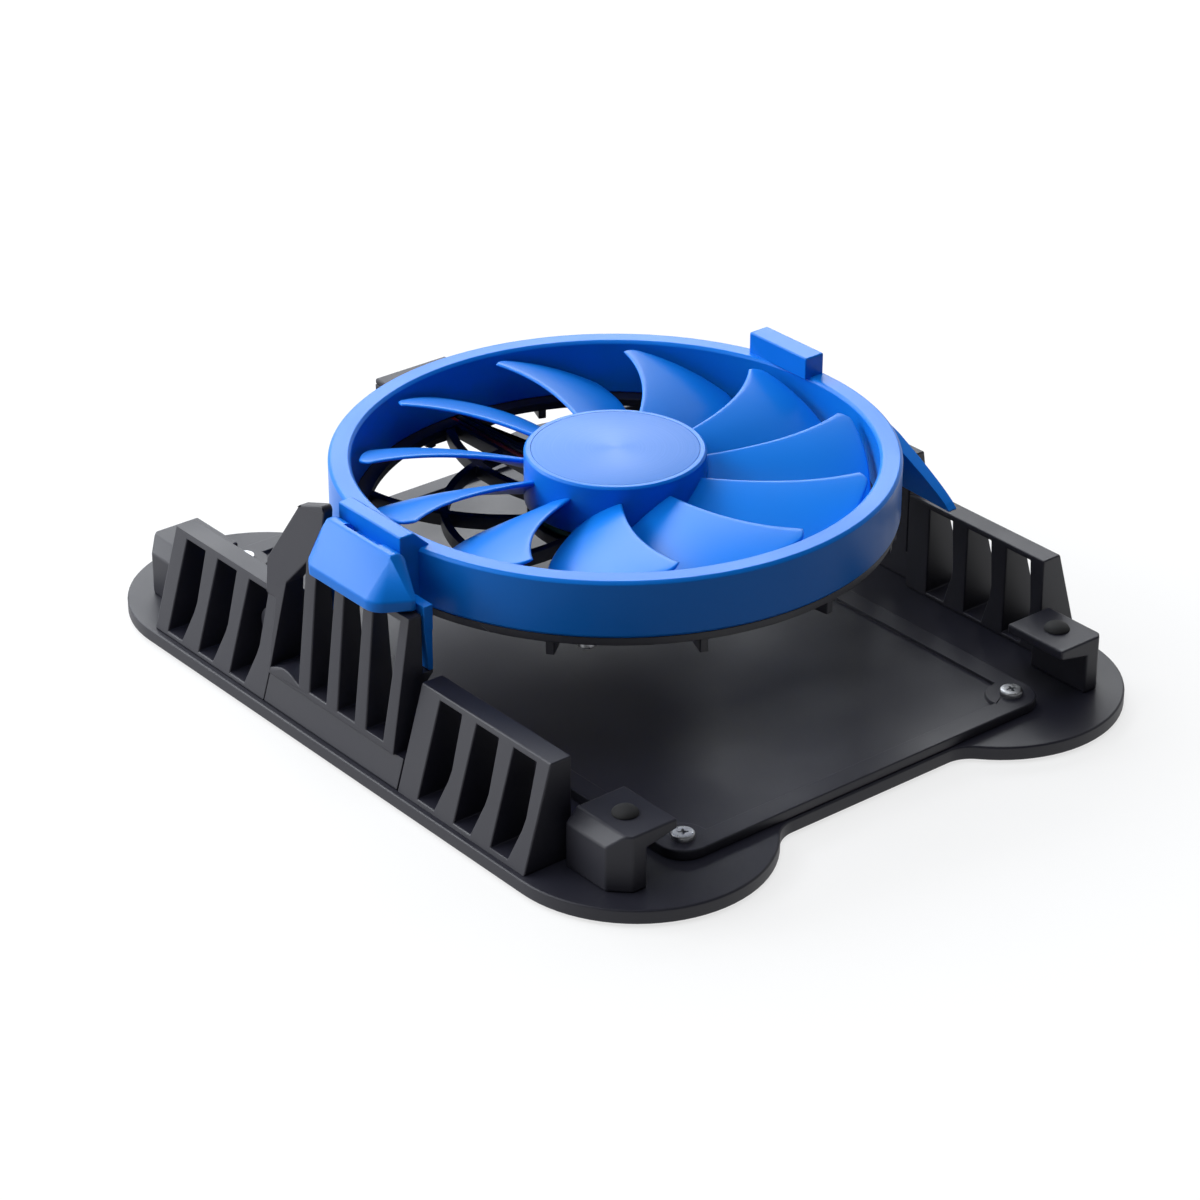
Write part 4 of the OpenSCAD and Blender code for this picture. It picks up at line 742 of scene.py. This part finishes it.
def newTree(name, inputs):
    tree = bpy.data.node_groups.new(name, "GeometryNodeTree")
    tree.interface.new_socket("Geometry", in_out="INPUT", socket_type="NodeSocketGeometry")
    for label, kind, default in inputs:
        socket = tree.interface.new_socket(label, in_out="INPUT", socket_type=kind)
        if default is not None:
            socket.default_value = default
    tree.interface.new_socket("Geometry", in_out="OUTPUT", socket_type="NodeSocketGeometry")
    return tree, tree.nodes.new("NodeGroupInput"), tree.nodes.new("NodeGroupOutput")


def useTree(obj, tree, values):
    # inputs are set by their identifiers before the first evaluation
    mod = obj.modifiers.new(tree.name, "NODES")
    mod.node_group = tree
    sockets = [s for s in tree.interface.items_tree if s.item_type == "SOCKET" and s.in_out == "INPUT"]
    names = {s.name: s.identifier for s in sockets}
    for label, value in values.items():
        mod[names[label]] = value
    obj.update_tag()
    return frozen(obj)


def realCopies(tree, gin, gout, points, shape, turn):
    # copies of a shape on points, made real and given their finish
    link = tree.links.new
    place = addNode(tree, "GeometryNodeInstanceOnPoints")
    link(points, place.inputs["Points"])
    link(shape, place.inputs["Instance"])
    link(turn, place.inputs["Rotation"])
    real = addNode(tree, "GeometryNodeRealizeInstances")
    paint = addNode(tree, "GeometryNodeSetMaterial")
    link(place.outputs["Instances"], real.inputs["Geometry"])
    link(real.outputs["Geometry"], paint.inputs["Geometry"])
    link(gin.outputs["Finish"], paint.inputs["Material"])
    link(paint.outputs["Geometry"], gout.inputs["Geometry"])
    return tree


def bladeWheelTree():
    # copies of the input geometry, turned evenly about Z
    tree, gin, gout = newTree("bladeWheel", [
        ("Count", "NodeSocketInt", 11), ("First Angle", "NodeSocketFloat", 0.0),
        ("Finish", "NodeSocketMaterial", None),
    ])
    link = tree.links.new
    spots = addNode(tree, "GeometryNodeMeshLine", {"Offset": (0, 0, 0)})
    link(gin.outputs["Count"], spots.inputs["Count"])
    index = addNode(tree, "GeometryNodeInputIndex")
    share = addNode(tree, "ShaderNodeMath", operation="DIVIDE")
    share.inputs[0].default_value = 2 * math.pi
    link(gin.outputs["Count"], share.inputs[1])
    angle = addNode(tree, "ShaderNodeMath", operation="MULTIPLY_ADD")
    link(index.outputs["Index"], angle.inputs[0])
    link(share.outputs[0], angle.inputs[1])
    link(gin.outputs["First Angle"], angle.inputs[2])
    turn = addNode(tree, "ShaderNodeCombineXYZ")
    link(angle.outputs[0], turn.inputs["Z"])
    return realCopies(tree, gin, gout, spots.outputs["Mesh"], gin.outputs["Geometry"], turn.outputs["Vector"])


blades = linkPiece("impellerBlades", bladeMesh(impellerLook))
useTree(blades, bladeWheelTree(), {
    "Count": impellerLook["blades"], "First Angle": math.radians(impellerLook["firstTip"]),
    "Finish": finishes["fan_plastic"],
})
blades.data.shade_smooth()
seat(blades, "rotor", ["impeller"])


def hubPiece(look):
    r, low, top, b = look["hubR"], look["hubLow"], look["hubTop"], look["hubBevel"]
    wall, roof, boss, bore = r - look["hubWall"], top - look["hubRoof"], look["bossR"], look["boreR"]
    pocket, floor, steps = look["capR"] + 0.05, top - look["capT"], look["turnSteps"]
    rim = [(r, low), (r, top - b), (r - b, top), (pocket, top)]
    profile = [(wall, low)] + roundCorner((wall, low), (r, low), (r, top), 0.2)
    profile += roundCorner(rim[0], rim[1], rim[2], 0.25) + roundCorner(rim[1], rim[2], rim[3], 0.2)
    profile += [(pocket, top), (pocket, floor), (0, floor)]
    outer = turned(profile, steps)
    boreTop, bossLow = roof + look["boreTop"], roof - look["bossH"]
    inner = [(0, boreTop), (bore, boreTop), (bore, bossLow), (boss, bossLow), (boss, roof),
             (wall, roof), (wall, low)]
    under = turned(inner, steps)
    lining = bpy.data.meshes.new("hubLining")
    under.to_mesh(lining)
    under.free()
    outer.from_mesh(lining)
    bpy.data.meshes.remove(lining)
    bmesh.ops.remove_doubles(outer, verts=outer.verts, dist=0.0005 * mm)
    bmesh.ops.recalc_face_normals(outer, faces=outer.faces)
    mesh = shellMesh("impellerHub", outer, 40)
    mesh.materials.append(finishes["fan_plastic"])
    return seat(linkPiece("impellerHub", mesh), "rotor", ["impeller"])


def discPiece(look):
    r, top, t = look["capR"], look["hubTop"], look["capT"]
    corners = [(0, top - t), (r, top - t), (r, top), (0, top)]
    profile = [(0, top - t)] + roundCorner(*corners[0:3], 0.08, 3)
    profile += roundCorner(*corners[1:4], 0.05, 3) + [(0, top)]
    mesh = shellMesh("hubDisc", turned(profile, look["turnSteps"]), 40)
    mesh.materials.append(finishes["hub_disc"])
    return seat(linkPiece("hubDisc", mesh), "rotor", ["hub_cap"])


hubPiece(impellerLook)
discPiece(impellerLook)
discTree = finishes["hub_disc"].node_tree
discTangent = addNode(discTree, "ShaderNodeTangent", direction_type="RADIAL", axis="Z")
discShader = next(n for n in discTree.nodes if n.type == "BSDF_PRINCIPLED")
discTree.links.new(discTangent.outputs["Tangent"], discShader.inputs["Tangent"])
print("impeller made:", len(blades.data.polygons), "blade faces")


# screws: one head with a cross recess, placed by Geometry Nodes

recessLook = {"rim": 0.62, "arm": 0.46, "waist": 0.11, "floor": 0.7, "deep": 0.62, "steps": 48}


def screwMesh(name, shankR, headR, headH, length, look):
    # head at z = 0, shank pointing up, cross recess in the head's face
    rimR, end = look["rim"] * headR, headH + length
    rows = [(rimR, 0.0)] + roundCorner((rimR, 0), (headR, 0), (headR, headH), 0.3 * headH, 4)
    rows += [(headR, headH), (shankR, headH), (shankR, end - 0.3 * shankR), (0.7 * shankR, end), (0, end)]
    shell = turned(rows, look["steps"])
    rim = [v for v in shell.verts if abs(v.co.z) < 1e-9 and abs(v.co.to_2d().length - rimR * mm) < 1e-7]
    rim.sort(key=lambda v: math.atan2(v.co.y, v.co.x))
    # a cross-shaped outline with one point for each rim point
    arm, waist, floorZ = look["arm"] * headR * mm, look["waist"] * headR * mm, look["deep"] * headH * mm
    cross, deep = [], []
    for v in rim:
        a = math.atan2(v.co.y, v.co.x)
        c, s = math.cos(a), math.sin(a)
        flatC, flatS = max(abs(c), 1e-6), max(abs(s), 1e-6)
        wide = max(min(waist / flatS, arm / flatC), min(waist / flatC, arm / flatS))
        cross.append(shell.verts.new((wide * c, wide * s, 0)))
        deep.append(shell.verts.new((look["floor"] * wide * c, look["floor"] * wide * s, floorZ)))
    heart = shell.verts.new((0, 0, floorZ))
    for k in range(len(rim)):
        n = (k + 1) % len(rim)
        shell.faces.new((rim[k], rim[n], cross[n], cross[k]))
        shell.faces.new((cross[k], cross[n], deep[n], deep[k]))
        shell.faces.new((deep[k], deep[n], heart))
    bmesh.ops.recalc_face_normals(shell, faces=shell.faces)
    return shellMesh(name, shell, 35)


def placedTree(name):
    # copies of one shape on the points of the input geometry, each turned by its own angle
    tree, gin, gout = newTree(name, [
        ("Shape", "NodeSocketObject", None), ("Flip", "NodeSocketFloat", 0.0),
        ("Turn Spread", "NodeSocketFloat", 0.0), ("Seed", "NodeSocketInt", 7),
        ("Finish", "NodeSocketMaterial", None),
    ])
    link = tree.links.new
    shape = addNode(tree, "GeometryNodeObjectInfo")
    link(gin.outputs["Shape"], shape.inputs["Object"])
    turn = addNode(tree, "FunctionNodeRandomValue", data_type="FLOAT")
    floats = [s for s in turn.inputs if s.type == "VALUE" and s.enabled]
    floats[0].default_value = 0.0
    link(gin.outputs["Turn Spread"], floats[1])
    link(gin.outputs["Seed"], turn.inputs["Seed"])
    pose = addNode(tree, "ShaderNodeCombineXYZ")
    link(gin.outputs["Flip"], pose.inputs["X"])
    link(next(s for s in turn.outputs if s.type == "VALUE" and s.enabled), pose.inputs["Z"])
    return realCopies(tree, gin, gout, gin.outputs["Geometry"], shape.outputs["Geometry"],
                      pose.outputs["Vector"])


setTree = placedTree("placedShapes")


def placed(name, points, shape, finishMat, flip=0.0, spread=0.0, seed=7):
    # shape is a mesh; its helper object is removed once the copies are real
    helper = linkPiece(name + "Shape", shape)
    mesh = bpy.data.meshes.new(name)
    mesh.from_pydata([tuple(p) for p in points], [], [])
    obj = linkPiece(name, mesh)
    useTree(obj, setTree, {
        "Shape": helper, "Flip": flip, "Turn Spread": spread, "Seed": seed, "Finish": finishMat,
    })
    bpy.data.objects.remove(helper)
    return obj


def loosePieces(node):
    # centre and box of each separate solid of a CAD node
    shell = mergedShell(node)
    seen, found = set(), []
    for start in shell.verts:
        if start in seen:
            continue
        stack, island = [start], []
        seen.add(start)
        while stack:
            v = stack.pop()
            island.append(v.co.copy())
            for e in v.link_edges:
                o = e.other_vert(v)
                if o not in seen:
                    seen.add(o)
                    stack.append(o)
        low = Vector([min(c[i] for c in island) for i in range(3)])
        high = Vector([max(c[i] for c in island) for i in range(3)])
        found.append((low, high))
    shell.free()
    return found


screwLook = {
    "base_screws": {"name": "baseScrews", "shank": 0.8, "head": 1.6, "headH": 0.8, "flip": False, "seed": 5},
    "tray_screws": {"name": "trayScrews", "shank": 0.8, "head": 1.6, "headH": 0.8, "flip": True, "seed": 11},
    "fan_screws": {"name": "fanScrews", "shank": 0.7, "head": 1.3, "headH": 0.7, "flip": False, "seed": 3},
}
for node, look in screwLook.items():
    boxes = loosePieces(node)
    length = (boxes[0][1].z - boxes[0][0].z) / mm - look["headH"]
    shape = screwMesh(look["name"] + "Mesh", look["shank"], look["head"], look["headH"], length, recessLook)
    spots = [((lo.x + hi.x) / 2, (lo.y + hi.y) / 2, hi.z if look["flip"] else lo.z) for lo, hi in boxes]
    screws = placed(look["name"], spots, shape, finishes["screw_steel"], math.pi if look["flip"] else 0.0,
                    math.pi / 2, look["seed"])
    seat(screws, bodyOf[node], [node])
print("screws placed")


# rubber: ribbed feet under the lobes and domed bumpers on the shelves

footLook = {"grooves": 3, "grooveDeep": 0.12, "grooveTop": 0.35, "grooveFloor": 0.2, "edge": 0.15, "steps": 96}
bumperLook = {"domeSteps": 10, "steps": 48}


def footMesh(radius, height, look):
    # a disc with shallow ring grooves in the face it rests on
    rows = [(0, 0)]
    wide, narrow, deep = look["grooveTop"], look["grooveFloor"], look["grooveDeep"]
    for k in range(look["grooves"]):
        mid = radius * (k + 1) / (look["grooves"] + 1)
        rows += [(mid - wide, 0), (mid - narrow, deep), (mid + narrow, deep), (mid + wide, 0)]
    rows += roundCorner((0, 0), (radius, 0), (radius, height), look["edge"], 4)
    return shellMesh("rubberFootMesh", turned(rows + [(radius, height), (0, height)], look["steps"]), 35)


def bumperMesh(radius, height, look):
    turns = [math.pi / 2 * k / look["domeSteps"] for k in range(1, look["domeSteps"])]
    dome = [(radius * math.cos(a), height * math.sin(a)) for a in turns]
    return shellMesh("restBumperMesh", turned([(0, 0), (radius, 0)] + dome + [(0, height)], look["steps"]))


for node, name, maker, look in (("rubber_feet", "rubberFeet", footMesh, footLook),
                                ("rest_bumpers", "restBumpers", bumperMesh, bumperLook)):
    boxes = loosePieces(node)
    lo, hi = boxes[0]
    shape = maker((hi.x - lo.x) / 2 / mm, (hi.z - lo.z) / mm, look)
    spots = [((a.x + b.x) / 2, (a.y + b.y) / 2, a.z) for a, b in boxes]
    seat(placed(name, spots, shape, finishes["soft_rubber"]), bodyOf[node], [node])
print("rubber pieces placed")


# power inlet's contacts, and the leads in their two colours

contactLook = {"perSide": 12, "pitch": 0.5, "width": 0.26, "length": 3.0, "thick": 0.04}


def contactMesh(look):
    shell = bmesh.new()
    bmesh.ops.create_cube(shell, size=1.0)
    for v in shell.verts:
        v.co = Vector((v.co.x * look["width"], v.co.y * look["length"], v.co.z * look["thick"])) * mm
    bmesh.ops.bevel(shell, geom=list(shell.edges), offset=0.01 * mm, segments=1, affect="EDGES")
    return shellMesh("contactMesh", shell, smooth=False)


softPiece("inlet_tongue", {"name": "inletTongue", "edge": 0.08 * mm, "segments": 2})
lo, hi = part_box("inlet_tongue")
front = hi.y - (contactLook["length"] / 2 + 0.3) * mm
spots = [((k - (contactLook["perSide"] - 1) / 2) * contactLook["pitch"] * mm, front, z)
         for k in range(contactLook["perSide"]) for z in (lo.z, hi.z)]
contacts = placed("inletContacts", spots, contactMesh(contactLook), contactGold)
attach(contacts, bodyOf["inlet_tongue"])


def leadPiece():
    shell = mergedShell("motor_leads")
    for face in shell.faces:
        face.material_index = 1 if face.calc_center_median().x > 0 else 0
    mesh = shellMesh("motorLeads", shell, 40)
    mesh.materials.append(finishes["lead_sleeve"])
    mesh.materials.append(blackSleeve)
    return seat(linkPiece("motorLeads", mesh), bodyOf["motor_leads"], ["motor_leads"])


leadPiece()

# the remaining CAD nodes keep their own meshes and take their finishes
for node, obj in cadNodes.items():
    obj.data.materials.clear()
    obj.data.materials.append(finishes[slotOf[node]])
print("CAD nodes still shown:", sorted(n for n, o in cadNodes.items() if not o.hide_render))


# stage, lights and camera

stageLook = {
    "size": 6.0, "floor": (0.28, 0.28, 0.28, 1), "floorGlow": 0.72, "worldFill": 0.17,
    "frontShare": 0.12, "ceilingShare": 0.30, "floorDrop": 0.0002, "floorRough": 0.9, "floorSpecular": 0.1,
}


def seenRay(tree):
    # 1 for rays that come from the camera or by way of gloss or glass
    path = addNode(tree, "ShaderNodeLightPath")
    either = addNode(tree, "ShaderNodeMath", operation="MAXIMUM")
    anyOf = addNode(tree, "ShaderNodeMath", operation="MAXIMUM")
    tree.links.new(path.outputs["Is Camera Ray"], either.inputs[0])
    tree.links.new(path.outputs["Is Glossy Ray"], either.inputs[1])
    tree.links.new(either.outputs[0], anyOf.inputs[0])
    tree.links.new(path.outputs["Is Transmission Ray"], anyOf.inputs[1])
    return anyOf.outputs[0]


def floorPiece(look):
    shell = bmesh.new()
    bmesh.ops.create_grid(shell, x_segments=1, y_segments=1, size=look["size"])
    mesh = shellMesh("studioFloor", shell, smooth=False)
    mat = bpy.data.materials.new("paleFloor")
    mat.use_nodes = True
    tree = mat.node_tree
    shader = tree.nodes["Principled BSDF"]
    shader.inputs["Base Color"].default_value = look["floor"]
    shader.inputs["Roughness"].default_value = look["floorRough"]
    shader.inputs["Specular IOR Level"].default_value = look["floorSpecular"]
    shader.inputs["Emission Color"].default_value = (1, 1, 1, 1)
    glow = addNode(tree, "ShaderNodeMath", operation="MULTIPLY")
    glow.inputs[1].default_value = look["floorGlow"]
    tree.links.new(seenRay(tree), glow.inputs[0])
    tree.links.new(glow.outputs[0], shader.inputs["Emission Strength"])
    mesh.materials.append(mat)
    floor = linkPiece("studioFloor", mesh)
    floor.location.z = -look["floorDrop"]


def worldLight(look):
    world = bpy.data.worlds.new("studioWorld")
    scene.world = world
    world.use_nodes = True
    tree = world.node_tree
    tree.nodes.clear()
    out = addNode(tree, "ShaderNodeOutputWorld")
    link = tree.links.new
    # the room is darker in front of the object and overhead than behind and beside it
    way = addNode(tree, "ShaderNodeTexCoord")
    parts = addNode(tree, "ShaderNodeSeparateXYZ")
    link(way.outputs["Generated"], parts.inputs[0])
    front = addNode(tree, "ShaderNodeMapRange", {
        "From Min": -0.6, "From Max": 0.3, "To Min": look["frontShare"], "To Max": 1.0})
    ceiling = addNode(tree, "ShaderNodeMapRange", {
        "From Min": 0.5, "From Max": 0.9, "To Min": 1.0, "To Max": look["ceilingShare"]})
    link(parts.outputs["Y"], front.inputs["Value"])
    link(parts.outputs["Z"], ceiling.inputs["Value"])
    room = addNode(tree, "ShaderNodeMath", operation="MULTIPLY")
    link(front.outputs["Result"], room.inputs[0])
    link(ceiling.outputs["Result"], room.inputs[1])
    filled = addNode(tree, "ShaderNodeMath", operation="MULTIPLY")
    link(room.outputs[0], filled.inputs[0])
    filled.inputs[1].default_value = look["worldFill"]
    fill = addNode(tree, "ShaderNodeBackground", {"Color": (1, 1, 1, 1)})
    link(filled.outputs[0], fill.inputs["Strength"])
    # white to the camera, and as bright as the room to gloss and glass
    path = addNode(tree, "ShaderNodeLightPath")
    white = addNode(tree, "ShaderNodeMath", operation="MAXIMUM")
    link(room.outputs[0], white.inputs[0])
    link(path.outputs["Is Camera Ray"], white.inputs[1])
    seen = addNode(tree, "ShaderNodeBackground", {"Color": (1, 1, 1, 1)})
    link(white.outputs[0], seen.inputs["Strength"])
    mix = addNode(tree, "ShaderNodeMixShader")
    link(seenRay(tree), mix.inputs["Fac"])
    link(fill.outputs[0], mix.inputs[1])
    link(seen.outputs[0], mix.inputs[2])
    link(mix.outputs[0], out.inputs["Surface"])


lampLook = {
    "tint": (0.93, 0.965, 1.0), "target": (0, 0, 0.02),
    "lamps": {
        "keySoftBox": {"spot": (-0.62, 0.34, 0.62), "size": (0.5, 0.5), "power": 2.2, "inGloss": True},
        "topSoftBox": {"spot": (-0.05, -0.10, 1.2), "size": (0.8, 0.7), "power": 5.9, "inGloss": False},
        "backSoftBox": {"spot": (0.15, 1.15, 0.78), "size": (2.2, 0.6), "power": 23.0, "inGloss": True},
        "leftSoftBox": {"spot": (-0.90, 0.85, 0.24), "size": (0.9, 0.45), "power": 4.4, "inGloss": True},
        "rimSoftBox": {"spot": (-0.65, 0.80, 0.58), "size": (0.32, 0.32), "power": 2.6, "inGloss": True},
    },
}


def softBox(name, lamp, look):
    data = bpy.data.lights.new(name, "AREA")
    data.shape = "RECTANGLE"
    data.size, data.size_y = lamp["size"]
    data.energy = lamp["power"]
    data.color = look["tint"]
    obj = bpy.data.objects.new(name, data)
    scene.collection.objects.link(obj)
    obj.location = lamp["spot"]
    aim = Vector(look["target"]) - Vector(lamp["spot"])
    obj.rotation_euler = aim.to_track_quat("-Z", "Y").to_euler()
    obj.visible_glossy = lamp["inGloss"]


floorPiece(stageLook)
worldLight(stageLook)
for name, lamp in lampLook["lamps"].items():
    softBox(name, lamp, lampLook)

cameraLook = {
    "spot": (-0.290947, -0.353293, 0.251631), "yaw": 0.68431, "pitch": 0.48963, "roll": 0.00112,
    "lens": 109.32, "sensor": 36.0, "clip": (0.01, 20.0),
}


def photoCamera(look):
    yaw, pitch, roll = look["yaw"], look["pitch"], look["roll"]
    ahead = Vector((math.sin(yaw) * math.cos(pitch), math.cos(yaw) * math.cos(pitch), -math.sin(pitch)))
    right = Vector((math.cos(yaw), -math.sin(yaw), 0))
    up = right.cross(ahead)
    side = math.cos(roll) * right + math.sin(roll) * up
    top = math.cos(roll) * up - math.sin(roll) * right
    turn = Matrix((side, top, -ahead)).transposed()
    data = bpy.data.cameras.new("photoCamera")
    data.sensor_width = look["sensor"]
    data.lens = look["lens"]
    data.clip_start, data.clip_end = look["clip"]
    cam = bpy.data.objects.new("photoCamera", data)
    scene.collection.objects.link(cam)
    cam.matrix_world = Matrix.Translation(look["spot"]) @ turn.to_4x4()
    scene.camera = cam


photoCamera(cameraLook)
print("stage, lights and camera set")
